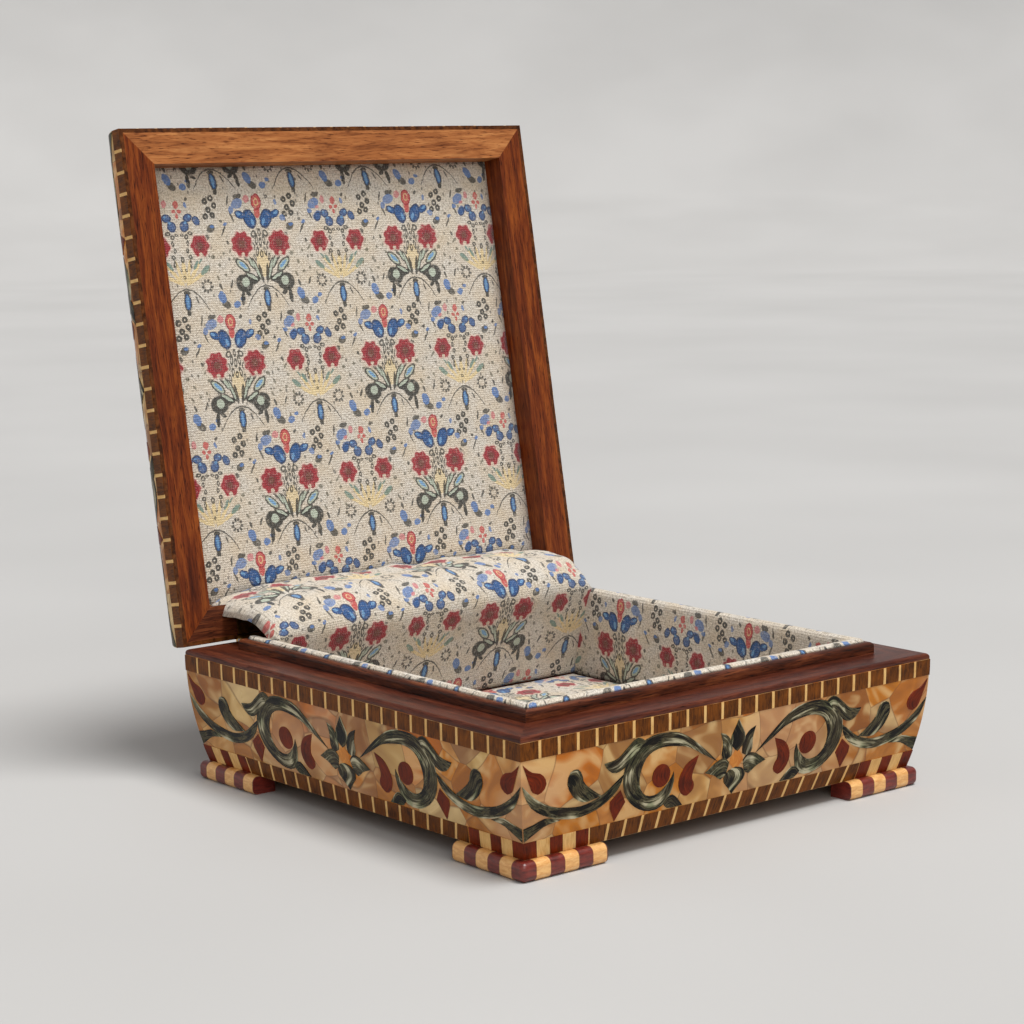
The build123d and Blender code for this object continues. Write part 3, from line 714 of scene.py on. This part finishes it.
class Inlay:
    """Thin pieces let into one surface, gathered in one mesh."""

    def __init__(self):
        self.mesh = bmesh.new()
        self.streak = self.mesh.verts.layers.float_vector.new("streak")
        self.laid = 0

    def piece(self, place, first, second, across=3, curve=through, long=None):
        """A piece between two edges that run from one tip to the other."""
        count = long or max(4, 2 * max(len(first), len(second)))
        left, right = curve(first, count), curve(second, count)
        lift = PROUD + LAYER_STEP * (self.laid % LAYER_COUNT)
        offset = STREAK_STEP * self.laid
        self.laid += 1
        layers = []
        for depth in (lift, -SUNK):
            rows = []
            run = 0.0
            for index, (a, b) in enumerate(zip(left, right)):
                middle = ((a[0] + b[0]) / 2, (a[1] + b[1]) / 2)
                if index:
                    run += math.dist(middle, before)
                before = middle
                width = math.dist(a, b)
                row = []
                for step in range(across + 1):
                    share = step / across
                    x = a[0] + (b[0] - a[0]) * share
                    z = a[1] + (b[1] - a[1]) * share
                    vertex = self.mesh.verts.new(place(x, z, depth))
                    vertex[self.streak] = (run + offset, width * share + offset, 0.0)
                    row.append(vertex)
                rows.append(row)
            layers.append(rows)
        top, under = layers
        faces = self.mesh.faces
        for i in range(count - 1):
            for j in range(across):
                faces.new((top[i][j], top[i][j + 1], top[i + 1][j + 1], top[i + 1][j]))
                faces.new((under[i][j], under[i + 1][j], under[i + 1][j + 1], under[i][j + 1]))
            faces.new((top[i][0], top[i + 1][0], under[i + 1][0], under[i][0]))
            faces.new((top[i][across], under[i][across], under[i + 1][across], top[i + 1][across]))
        for j in range(across):
            faces.new((top[0][j], under[0][j], under[0][j + 1], top[0][j + 1]))
            faces.new((top[-1][j], top[-1][j + 1], under[-1][j + 1], under[-1][j]))

    def both_ways(self, place, first, second, **how):
        """A piece and its mirror image on the left."""
        self.piece(place, first, second, **how)
        self.piece(place, [(-x, z) for x, z in first], [(-x, z) for x, z in second], **how)

    def symmetric(self, place, edge, **how):
        """A piece that is its own mirror image."""
        self.piece(place, edge, [(-x, z) for x, z in edge], **how)

    def finish(self, name, material, body, slot):
        bmesh.ops.remove_doubles(self.mesh, verts=self.mesh.verts, dist=0.004 * MM)
        bmesh.ops.recalc_face_normals(self.mesh, faces=self.mesh.faces)
        made = mesh_object(name, self.mesh, material)
        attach(made, body)
        return made


def mesh_object(name, built, material, smooth=False):
    """An object with one material, made from a mesh under construction."""
    mesh = bpy.data.meshes.new(name)
    built.to_mesh(mesh)
    built.free()
    mesh.materials.append(material)
    mesh.polygons.foreach_set("use_smooth", [smooth] * len(mesh.polygons))
    made = bpy.data.objects.new(name, mesh)
    bpy.context.scene.collection.objects.link(made)
    return made


# The scroll design, as pairs of edges from tip to tip: (distance from the middle, height on the side).
SCROLL = (
    [
        (7.5, 21.6), (13, 26.2), (18, 29.9), (23, 32.6), (28, 33.4), (33, 33.3), (38, 31.6),
        (41.8, 28.4), (43.6, 24.1), (43.5, 20.1), (42, 16.7), (39, 13.8), (35, 11.8), (30.5, 11.4),
        (27, 12.8), (25, 15.8), (24.2, 19.2), (24.5, 21.6),
    ],
    [
        (7.5, 21.6), (10.5, 23.2), (14, 25), (19, 27.7), (24, 28.9), (29, 29.4), (33, 28.7),
        (35.5, 27), (37, 24.1), (37.5, 21.6), (37, 18.7), (35, 16.5), (32, 15.8), (29, 16.7),
        (26, 19.2), (24.5, 21.6),
    ],
)
HOOKED_LEAF = (
    [(36, 32.6), (38, 33.6), (40, 33.1), (43, 30.9), (46, 28.9), (50.7, 28.3)],
    [(36, 32.6), (39, 29.2), (41.5, 27.5), (44, 25.5), (47, 25.0), (49.5, 26.5), (50.7, 28.3)],
)
TAIL_LEAF = (
    [
        (20, 10.9), (23, 14), (25.3, 14.8), (28, 12.8),
    ],
    [
        (20, 10.9), (23, 10.9), (26, 11.0), (28, 12.8),
    ],
)
WAVE = (
    [
        (43.5, 24.1), (46, 22.6), (50, 20.1), (54.5, 18.4), (59.5, 17.7), (65, 18.4), (70, 19.7),
        (75, 22.6), (78, 25.3), (79.7, 27.0),
    ],
    [
        (43.5, 24.1), (45, 20.6), (49.5, 17.2), (54.5, 15.3), (60.5, 14.5), (66.5, 15.3), (71.5, 17),
        (76, 19.7), (78.5, 23.1), (79.7, 27.0),
    ],
)
BRANCH_LEAF = (
    [
        (66.5, 15.0), (71.5, 16.5), (76, 15.5), (79.7, 14.8),
    ],
    [
        (66.5, 15.0), (72, 14.3), (76, 12.6), (79.7, 10.9),
    ],
)
UPRIGHT_LEAF = (
    [(51.5, 19.4), (55.5, 22.1), (58, 24.5), (58.7, 27), (60.5, 28.6), (62.8, 28)],
    [(51.5, 19.4), (57.5, 18.6), (61, 20.2), (63, 22.6), (63.9, 25.5), (62.8, 28)],
)
SHELL_LEAVES = [SCROLL, HOOKED_LEAF, TAIL_LEAF, WAVE, BRANCH_LEAF, UPRIGHT_LEAF]

TULIP_TOP = [(0, 32.8), (1.5, 30.2), (2.7, 28.0), (2.4, 25.5), (0, 23.4)]
TULIP_FOOT = [(0, 10.7), (1.8, 12.6), (4.3, 15.3), (3.2, 17.8), (0, 18.8)]
TULIP_SIDE = (
    [
        (6.9, 29.8), (4.6, 28.9), (2.9, 27.2), (2.0, 24.6), (2.2, 22.4),
    ],
    [
        (6.9, 29.8), (5.9, 26.4), (6.1, 23.4), (4.8, 21.4), (2.2, 22.4),
    ],
)
TULIP_WING = (
    [
        (12.2, 18.9), (9.5, 20.6), (7.2, 21.8), (4.5, 22.0), (2.8, 20.4),
    ],
    [
        (12.2, 18.9), (8.4, 17.6), (5.7, 15.9), (3.7, 17.3), (2.8, 20.4),
    ],
)

CRESCENT = (
    [(15.2, 24.8), (19.5, 23.1), (22, 19.7), (22.2, 16.7), (20.5, 14), (18.5, 13.4)],
    [(15.2, 24.8), (15.9, 22.9), (16.9, 20.6), (17.2, 18.4), (16.2, 16.7), (16.4, 14.8), (18.5, 13.4)],
)
CORNER_DROP = (
    [(79.3, 32.8), (76.3, 30.4), (72.9, 29.3), (71.2, 26.8), (72.2, 24.6), (74.2, 23.8)],
    [(79.3, 32.8), (78.1, 29.6), (77.1, 26.9), (76.2, 24.8), (74.2, 23.8)],
)
KITE = ([(44.5, 19.7), (49, 16.5), (46.5, 10.8)], [(44.5, 19.7), (42.5, 16), (46.5, 10.8)])
DIAMOND = [(0, 24.5), (3.2, 20.8), (0, 17.7)]
BERRY = (29.3, 21.2, 3.4)


def half_rounds(x, z, radius):
    """The two edges of a round piece, from its top to its foot."""
    edges = []
    for way in (1, -1):
        turns = [math.pi * step / 8 for step in range(9)]
        edges.append([(x + way * radius * math.sin(turn), z + radius * math.cos(turn)) for turn in turns])
    return edges


def scroll_band(shell, red, orange, place):
    """The whole design of one side: a tulip, two scrolls, and the leaves and drops around them."""
    for leaf in SHELL_LEAVES:
        shell.both_ways(place, *leaf)
    shell.symmetric(place, TULIP_TOP)
    shell.symmetric(place, TULIP_FOOT)
    shell.both_ways(place, *TULIP_SIDE)
    shell.both_ways(place, *TULIP_WING)
    orange.symmetric(place, DIAMOND, curve=straight)
    red.both_ways(place, *CRESCENT)
    red.both_ways(place, *half_rounds(*BERRY))
    red.both_ways(place, *KITE, curve=straight)
    red.both_ways(place, *CORNER_DROP)


def border(brown, string, red, place, low, high, pieces, lean=0.0, striped_ends=False):
    """A row of brown blocks with a light string between each two; its ends may be in broad stripes."""
    reach = SIDE / 2
    pitch = 2 * reach / pieces
    stripes = STRIPES_AT_END if striped_ends else 0

    def block(target, start, stop, start_lean, stop_lean):
        first = [(start + start_lean, high), (start, low)]
        second = [(stop + stop_lean, high), (stop, low)]
        target.piece(place, first, second, curve=straight)

    first_block = -reach + stripes * STRIPE
    blocks = round((2 * -first_block) / pitch)
    pitch = 2 * -first_block / blocks
    for index in range(blocks):
        start = first_block + index * pitch
        begin = start + STRING / 2 * (index > 0 or stripes > 0)
        end = start + pitch - STRING / 2 * (index < blocks - 1 or stripes > 0)
        block(brown, begin, end, lean * (index > 0), lean * (index < blocks - 1))
        if index or stripes:
            slant = lean * (index > 0)
            block(string, start - STRING / 2, start + STRING / 2, slant, slant)
    for way in (-1, 1):
        for stripe in range(stripes):
            outer = way * (reach - stripe * STRIPE)
            inner = way * (reach - (stripe + 1) * STRIPE)
            block(string if stripe % 2 else red, min(outer, inner), max(outer, inner), 0.0, 0.0)


# ---------------------------------------------------------------- cloth


def cloth(name, place, prints, material, columns, rows, thick=0.5):
    """A sheet of printed cloth: place and prints take two shares, across and along."""
    built = bmesh.new()
    layer = built.verts.layers.float_vector.new("print")
    grid = []
    for i in range(rows + 1):
        line = []
        for j in range(columns + 1):
            u, v = j / columns, i / rows
            vertex = built.verts.new(place(u, v))
            vertex[layer] = (*prints(u, v), 0.0)
            line.append(vertex)
        grid.append(line)
    for i in range(rows):
        for j in range(columns):
            built.faces.new((grid[i][j], grid[i][j + 1], grid[i + 1][j + 1], grid[i + 1][j]))
    built.normal_update()
    if thick:
        bmesh.ops.solidify(built, geom=list(built.faces), thickness=thick * MM)
    bmesh.ops.recalc_face_normals(built, faces=built.faces)
    return mesh_object(name, built, material, smooth=True)


def ripple(x, y, z, size, height):
    """A soft unevenness of so much height, with folds of so much size."""
    return noise.noise(Vector((x, y, z)) / size) * height


def along_profile(points, count):
    """Points on a smooth profile, with the length run to each of them."""
    curve = through(points, count)
    runs = [0.0]
    for a, b in zip(curve, curve[1:]):
        runs.append(runs[-1] + math.dist(a, b))
    return curve, runs


def ease(value, low, high):
    """0 up to low, 1 from high, and smooth between."""
    share = min(max((value - low) / (high - low), 0.0), 1.0)
    return share * share * (3 - 2 * share)


def lid_lining(material):
    """The panel of cloth in the lid, drawn over thin wadding and tucked in all round."""
    low, high = LID_MIDDLE - PANEL_HALF, LID_MIDDLE + PANEL_HALF

    def place(u, v):
        x, s = -PANEL_HALF + 2 * PANEL_HALF * u, low + (high - low) * v
        from_edge = min(x + PANEL_HALF, PANEL_HALF - x, s - low, high - s)
        puff = 1.5 * ease(from_edge, 0, 7) + ripple(x, s, 0, 17, 0.35)
        return on_lid(x, s, PANEL_DEPTH + 0.7 - puff)

    def prints(u, v):
        return -PANEL_HALF + 2 * PANEL_HALF * u + 28.8, low + (high - low) * v - 26.5

    made = cloth("lid_lining", place, prints, material, 92, 92)
    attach(made, "lid")
    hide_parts("lid_pad")


WALL_CLOTH = [
    (64.2, 14.6), (63.3, 17.5), (62.9, 24), (62.8, 32), (63.2, 39), (63.5, 42.4), (64.0, 43.9),
    (64.8, 44.3), (65.6, 44.1), (66.0, 43.4),
]


def wall_linings(material):
    """Cloth on the front and side walls, brought over the lip as a narrow band."""
    rows = 34
    curve, runs = along_profile(WALL_CLOTH, rows + 1)
    for name, turn, shift in (("front", 0, 6.0), ("right", 1, 21.0), ("left", 3, 40.0)):

        def place(u, v):
            out, z = curve[round(v * rows)]
            corner = LIP_INNER - 0.9 + max(0.0, out - LIP_INNER + 0.9)
            x = (2 * u - 1) * corner
            tuck = ease(abs(x), 52, 64) * ease(z, 44, 30) * 0.9
            soft = ripple(x, z, turn * 40, 15, 0.7) * ease(z, 44, 34)
            px, py = quarter_turned(x, -out - tuck * 0.6 + soft, turn)
            return on_box(px, py, z)

        def prints(u, v):
            return (2 * u - 1) * LIP_INNER + shift, runs[round(v * rows)] + 9.0

        made = cloth(f"wall_lining_{name}", place, prints, material, 86, rows)
        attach(made, "box")
        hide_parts(f"lining_{name}")


BACK_CLOTH = [
    (63.2, 15.0), (61.5, 22), (59.4, 29.0), (56.6, 37), (54.4, 43.0), (53.9, 46.5), (55.2, 50),
    (58.6, 53.2), (65.0, 55.7), (73.0, 56.4), (82.2, 55.4), (89.2, 55.0),
]
HUMP_FOOT = 44.0
BACK_HALF = 63.6  # half the back cloth's width


def back_lining(material):
    """The back wall's cloth, which goes on over the hinges as a soft hump and joins the lid's panel."""
    rows = 60
    curve, runs = along_profile(BACK_CLOTH, rows + 1)

    def place(u, v):
        y, z = curve[round(v * rows)]
        x = (2 * u - 1) * BACK_HALF
        on_hump = ease(z, HUMP_FOOT, 52)
        left_droop = 2.6 * ease(-x, 40, 66)
        rounded = 5.5 * (1 - math.sqrt(max(0.0, 1 - max(0.0, (abs(x) - 57.6) / 6.0) ** 2)))
        folds = ripple(x, y, z, 11, 1.3) + ripple(x * 0.4, y, z, 5, 0.5)
        reach = 1 + 0.02 * on_hump * (x < 0)
        drop = on_hump * (left_droop + rounded * 0.8 - folds)
        forward = -0.5 * folds * (1 - on_hump) + on_hump * rounded * 0.25
        return on_box(x * reach, y + forward, z - drop)

    def prints(u, v):
        return (2 * u - 1) * 64.0 + 33.0, runs[round(v * rows)] - 6.0

    made = cloth("back_lining_and_hump", place, prints, material, 96, rows, thick=0.7)
    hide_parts("lining_back", "hinge_cloth")
    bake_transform(made)


def rounded_block(name, low, high, radius, crown, material, body, replaced):
    """A cloth-covered board or pad: a box with soft edges, a crowned top and slight unevenness."""
    low, high = Vector(low) / MM, Vector(high) / MM
    built = bmesh.new()
    layer = built.verts.layers.float_vector.new("print")
    bmesh.ops.create_cube(built, size=2.0)
    bmesh.ops.subdivide_edges(built, edges=built.edges, cuts=29, use_grid_fill=True)
    middle, half = (low + high) / 2, (high - low) / 2
    radius = min(radius, *(0.98 * edge for edge in half))
    for vertex in built.verts:
        unit = vertex.co.copy()
        spread = [math.sin(part * math.pi / 2) for part in unit]
        point = Vector([middle[i] + half[i] * spread[i] for i in range(3)])
        core = Vector([min(max(point[i], low[i] + radius), high[i] - radius) for i in range(3)])
        away = point - core
        if away.length > 1e-6:
            point = core + away.normalized() * radius
        down = high.z - point.z
        px = point.x + math.copysign(down, unit.x) * (abs(unit.x) > 0.99)
        py = point.y + math.copysign(down, unit.y) * (abs(unit.y) > 0.99)
        vertex[layer] = (px + BLOCK_PRINT[0], py + BLOCK_PRINT[1], 0.0)
        bulge = crown * (1 - unit.x**4) * (1 - unit.y**4) * (unit.z > 0.99)
        point.z += bulge + ripple(point.x, point.y, point.z, 12, 0.25) * (unit.z > 0.99)
        vertex.co = point * MM
    made = mesh_object(name, built, material, smooth=True)
    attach(made, body)
    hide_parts(replaced)
    return made


def floor_cushion(material):
    """The wadded floor, cut out round the movement's compartment."""
    reach, cut_x, cut_y = 63.4, -19.6, -7.6
    bottom, edge = 9.6, 2.4
    xs = [*np.linspace(-reach, cut_x, 26), *np.linspace(cut_x, reach, 48)[1:]]
    ys = [*np.linspace(-reach, cut_y, 32), *np.linspace(cut_y, reach, 42)[1:]]
    built = bmesh.new()
    layer = built.verts.layers.float_vector.new("print")
    upper, lower = {}, {}

    def corner(i, j):
        if (i, j) not in upper:
            x, y = float(xs[i]), float(ys[j])
            inside = min(x + reach, reach - x, y + reach, reach - y)
            from_cut = max(x - cut_x, y - cut_y)
            if x >= cut_x - 0.01 and y >= cut_y - 0.01:
                from_cut = math.hypot(x - cut_x, y - cut_y)
            near = max(min(inside, from_cut), 0.0)
            fall = edge * (1 - math.sqrt(1 - (1 - min(near / edge, 1)) ** 2))
            crown = 0.6 * ease(near, 0, 22)
            z = FLOOR_TOP - 0.3 - fall + crown + ripple(x, y, 0, 14, 0.5) * ease(near, 0, 6)
            upper[i, j] = built.verts.new(on_box(x, y, z))
            upper[i, j][layer] = (x + FLOOR_PRINT[0], y + FLOOR_PRINT[1], 0.0)
            lower[i, j] = built.verts.new(on_box(x, y, bottom))
            lower[i, j][layer] = (x + FLOOR_PRINT[0], y + FLOOR_PRINT[1] - 5.0, 0.0)
        return upper[i, j], lower[i, j]

    for i in range(len(xs) - 1):
        for j in range(len(ys) - 1):
            if xs[i] < cut_x - 0.1 and ys[j] < cut_y - 0.1:
                continue
            square = [corner(i, j), corner(i + 1, j), corner(i + 1, j + 1), corner(i, j + 1)]
            built.faces.new([top for top, _ in square])
            built.faces.new([under for _, under in reversed(square)])
    sides = {top: lower[key] for key, top in upper.items()}
    rim = [edge for edge in built.edges if edge.is_boundary and all(v in sides for v in edge.verts)]
    for open_edge in rim:
        a, b = open_edge.verts
        built.faces.new((a, b, sides[b], sides[a]))
    bmesh.ops.recalc_face_normals(built, faces=built.faces)
    made = mesh_object("floor_cushion", built, material, smooth=True)
    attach(made, "box")
    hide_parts("floor_pad")


# ---------------------------------------------------------------- finishes for the CAD pieces


ALONG_X = (1, 0, 0)
ALONG_Y = (0, 1, 0)


def finish_cad_pieces(finishes):
    """Gives each CAD piece the finish whose name its own begins with, the longest such name winning."""
    for name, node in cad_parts.items():
        starts = [start for start in finishes if name.startswith(start)]
        material = finishes[max(starts, key=len)]
        node.data.materials.clear()
        node.data.materials.append(material)
        for face in node.data.polygons:
            face.material_index = 0


ledge_tones = colour(38, 12, 6), colour(78, 34, 20), colour(112, 58, 36)
lip_tones = colour(30, 10, 4), colour(80, 36, 18), colour(132, 72, 40)
rail_tones = colour(108, 56, 26), colour(164, 100, 54), colour(200, 136, 80)
stile_tones = colour(60, 20, 5), colour(108, 46, 14), colour(154, 80, 28)
core_tones = colour(120, 76, 42), colour(164, 112, 68), colour(196, 146, 96)

ledge_x = wood("ledge_wood_x", *ledge_tones, ALONG_X, roughness=0.32, coat=0.06)
ledge_y = wood("ledge_wood_y", *ledge_tones, ALONG_Y, roughness=0.32, coat=0.06)
lip_x = wood("lip_wood_x", *lip_tones, ALONG_X, roughness=0.36, coat=0.1)
lip_y = wood("lip_wood_y", *lip_tones, ALONG_Y, roughness=0.36, coat=0.1)
rail = wood("lid_rail_wood", *rail_tones, ALONG_X, roughness=0.42, coat=0.05, smudge=0.45)
# painted shade: the hinge rail takes the lip's darker tones for the shadow that the cloth hump casts on it
hinge_rail_painted_shade = wood("lid_hinge_rail_wood_painted_shade", *lip_tones, ALONG_X, roughness=0.42, coat=0.05, smudge=0.35)
stile = wood("lid_stile_wood", *stile_tones, tuple(LID_UP), roughness=0.42, coat=0.05, smudge=0.35)
core = wood("core_wood", *core_tones, ALONG_X, roughness=0.55, coat=0.0)
base = wood("base_wood", *core_tones, ALONG_X, roughness=0.6, coat=0.0)
brass = metal("brass", colour(196, 150, 76), colour(120, 84, 40), 0.3)
steel = metal("steel", colour(150, 150, 148), colour(88, 84, 78), 0.3)
zinc = metal("cast_zinc", colour(140, 140, 136), colour(96, 94, 90), 0.5)
shell_ground = pearl("pearl_mosaic")
lid_shell_ground = pearl("lid_pearl_mosaic", colour(54, 26, 10), colour(104, 58, 26))
shell_dark = abalone()
striped = striped_wood()
brown_inlay = inlay_wood("brown_inlay_wood", colour(50, 22, 3), colour(124, 68, 14))
pale_inlay = inlay_wood("pale_inlay_wood", colour(196, 146, 82), colour(232, 194, 130))
red_inlay = inlay_wood("red_inlay_wood", colour(62, 15, 2), colour(126, 42, 8))
orange_inlay = inlay_wood("orange_inlay_wood", colour(176, 100, 40), colour(216, 146, 70))
fabric = printed_cloth()

pieces_by_finish = (
    (core, ["wall_", "lid_board"]),
    (base, ["bottom_panel"]),
    (shell_ground, ["inlay_"]),
    (lid_shell_ground, ["lid_inlay_"]),
    (striped, ["foot_"]),
    (ledge_x, ["rim_front", "rim_back"]),
    (ledge_y, ["rim_left", "rim_right"]),
    (lip_x, ["liner_front", "liner_back"]),
    (lip_y, ["liner_left", "liner_right"]),
    (rail, ["lid_rail_front"]),
    (hinge_rail_painted_shade, ["lid_rail_back"]),
    (stile, ["lid_rail_left", "lid_rail_right"]),
    (fabric, ["lining_", "partition_", "floor_pad", "movement_cover", "hinge_cloth", "lid_pad"]),
    (zinc, ["movement_", "spring_housing", "bracket_"]),
    (brass, ["hinge_", "winding_key", "cylinder", "idler", "fan"]),
    (steel, ["hinge_pins", "comb", "movement_screws", "mainspring", "winding_arbor"]),
)
finish_cad_pieces({start: finish for finish, starts in pieces_by_finish for start in starts})

# ---------------------------------------------------------------- the inlay, side by side

NAMES = ("front", "right", "back", "left")
for turn, name in enumerate(NAMES):
    for body, prefix, place, blocks, slot in (
        ("box", "inlay", wall_place(turn), 24, "shell_veneer"),
        ("lid", "lid_inlay", lid_side_place(turn), 24, "shell_veneer"),
        ("lid", "lid_top_inlay", lid_top_place(turn), 18, "shell_veneer"),
    ):
        shell, red, orange, brown, string = (Inlay() for _ in range(5))
        scroll_band(shell, red, orange, place)
        on_wall = body == "box"
        ends = {"lean": 1.0 * on_wall, "striped_ends": on_wall}
        border(brown, string, red, place, FOOT_HEIGHT + 0.1, BAND_LOW, blocks, **ends)
        if prefix != "lid_inlay":
            border(brown, string, red, place, BAND_HIGH, WALL_TOP - 0.1, blocks)
        shell.finish(f"{prefix}_shell_scrolls_{name}", shell_dark, body, slot)
        red.finish(f"{prefix}_red_pieces_{name}", red_inlay, body, slot)
        orange.finish(f"{prefix}_diamond_{name}", orange_inlay, body, slot)
        brown.finish(f"{prefix}_brown_blocks_{name}", brown_inlay, body, slot)
        string.finish(f"{prefix}_strings_{name}", pale_inlay, body, slot)


def rosette():
    """Eight shell petals and eight red drops round a diamond, in the middle of the lid's top."""
    shell, red, orange = Inlay(), Inlay(), Inlay()
    for step in range(8):
        place = rosette_place(step * math.pi / 4)
        shell.symmetric(place, [(0, 7), (2.6, 12), (3.6, 17), (2.4, 23), (0, 30)])
        between = rosette_place((step + 0.5) * math.pi / 4)
        red.symmetric(between, [(0, 16), (1.6, 19.5), (2.8, 23.5), (1.8, 26.5), (0, 27.6)])
    orange.symmetric(rosette_place(0), [(0, -6), (4.2, 0), (0, 6)], curve=straight)
    orange.symmetric(rosette_place(math.pi / 2), [(0, -6), (4.2, 0), (0, 6)], curve=straight)
    shell.finish("lid_top_rosette_petals", shell_dark, "lid", "shell_veneer")
    red.finish("lid_top_rosette_drops", red_inlay, "lid", "shell_veneer")
    orange.finish("lid_top_rosette_star", orange_inlay, "lid", "shell_veneer")


rosette()

# ---------------------------------------------------------------- the soft pieces

lid_lining(fabric)
wall_linings(fabric)
back_lining(fabric)
floor_cushion(fabric)
for node, body, radius, crown in (
    ("partition_side", "box", 0.9, 0.0),
    ("partition_back", "box", 0.9, 0.0),
    ("movement_cover", "cover", 1.3, 0.7),
):
    low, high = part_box(node)
    rounded_block(f"{node}_cloth", low, high, radius, crown, fabric, body, node)

# ---------------------------------------------------------------- floor, lights and camera

STAND_OFF = Vector((-497.165, -601.445, 195.336)) * MM
YAW, PITCH, ROLL = math.radians(-40.298), math.radians(8.357), math.radians(-0.628)
LENS = 90.33
FRAME_SHIFT = -0.0273


def camera():
    """The camera in front of the left corner, looking slightly down."""
    back = Vector((math.sin(YAW) * math.cos(PITCH), -math.cos(YAW) * math.cos(PITCH), math.sin(PITCH)))
    level = Vector((0, 0, 1)).cross(back).normalized()
    above = back.cross(level)
    right = level * math.cos(ROLL) + above * math.sin(ROLL)
    up = above * math.cos(ROLL) - level * math.sin(ROLL)
    made = bpy.data.objects.new("camera", bpy.data.cameras.new("camera"))
    turned = Matrix((right, up, back)).transposed().to_4x4()
    made.matrix_world = Matrix.Translation(STAND_OFF) @ turned
    made.data.lens = LENS
    made.data.sensor_width = 36
    made.data.shift_x = FRAME_SHIFT
    made.data.clip_start = 0.01
    bpy.context.scene.collection.objects.link(made)
    bpy.context.scene.camera = made


def area_light(name, where, size, watts, tint):
    """A large soft light that faces the box."""
    data = bpy.data.lights.new(name, "AREA")
    data.size = size
    data.energy = watts
    data.color = tint
    made = bpy.data.objects.new(name, data)
    made.location = where
    made.rotation_euler = (Vector((0, 0, 0.05)) - Vector(where)).to_track_quat("-Z", "Y").to_euler()
    bpy.context.scene.collection.objects.link(made)


def studio():
    """A pale floor that curves up all round, so every view has the same plain ground."""
    built = bmesh.new()
    profile = [(0.5, 0.0), (1.5, 0.0), (3.0, 0.0), (3.6, 0.1), (4.1, 0.45), (4.4, 1.0), (4.5, 1.8)]
    rings = []
    for radius, height in profile:
        turns = [math.tau * step / 48 for step in range(48)]
        rings.append([built.verts.new((radius * math.cos(t), radius * math.sin(t), height)) for t in turns])
    built.faces.new(rings[0])
    for inner, outer in zip(rings, rings[1:]):
        for step in range(48):
            after = (step + 1) % 48
            built.faces.new((inner[step], outer[step], outer[after], inner[after]))
    bmesh.ops.recalc_face_normals(built, faces=built.faces)
    made = Shader("studio_floor")
    tone = made.noise(made.position(), 0.004, detail=2.0)
    paper = made.finish(made.ramp(tone, (0.3, colour(180, 178, 175)), (0.7, colour(187, 185, 182))), 0.8)
    floor = mesh_object("studio_floor", built, paper, smooth=True)
    world = bpy.data.worlds.new("studio")
    world.use_nodes = True
    world.node_tree.nodes["Background"].inputs["Color"].default_value = (0.94, 0.96, 1.0, 1.0)
    world.node_tree.nodes["Background"].inputs["Strength"].default_value = 0.4
    bpy.context.scene.world = world
    sun = bpy.data.objects.new("high_sun", bpy.data.lights.new("high_sun", "SUN"))
    sun.data.energy = 3.0
    sun.data.angle = 0.5
    sun.rotation_euler = Euler((math.radians(16), math.radians(8), 0))
    bpy.context.scene.collection.objects.link(sun)
    area_light("front_light", (-0.7, -1.3, 0.8), 1.0, 7, (1.0, 0.97, 0.92))


camera()
studio()
bpy.context.scene.view_settings.view_transform = "Standard"

bpy.context.view_layer.update()
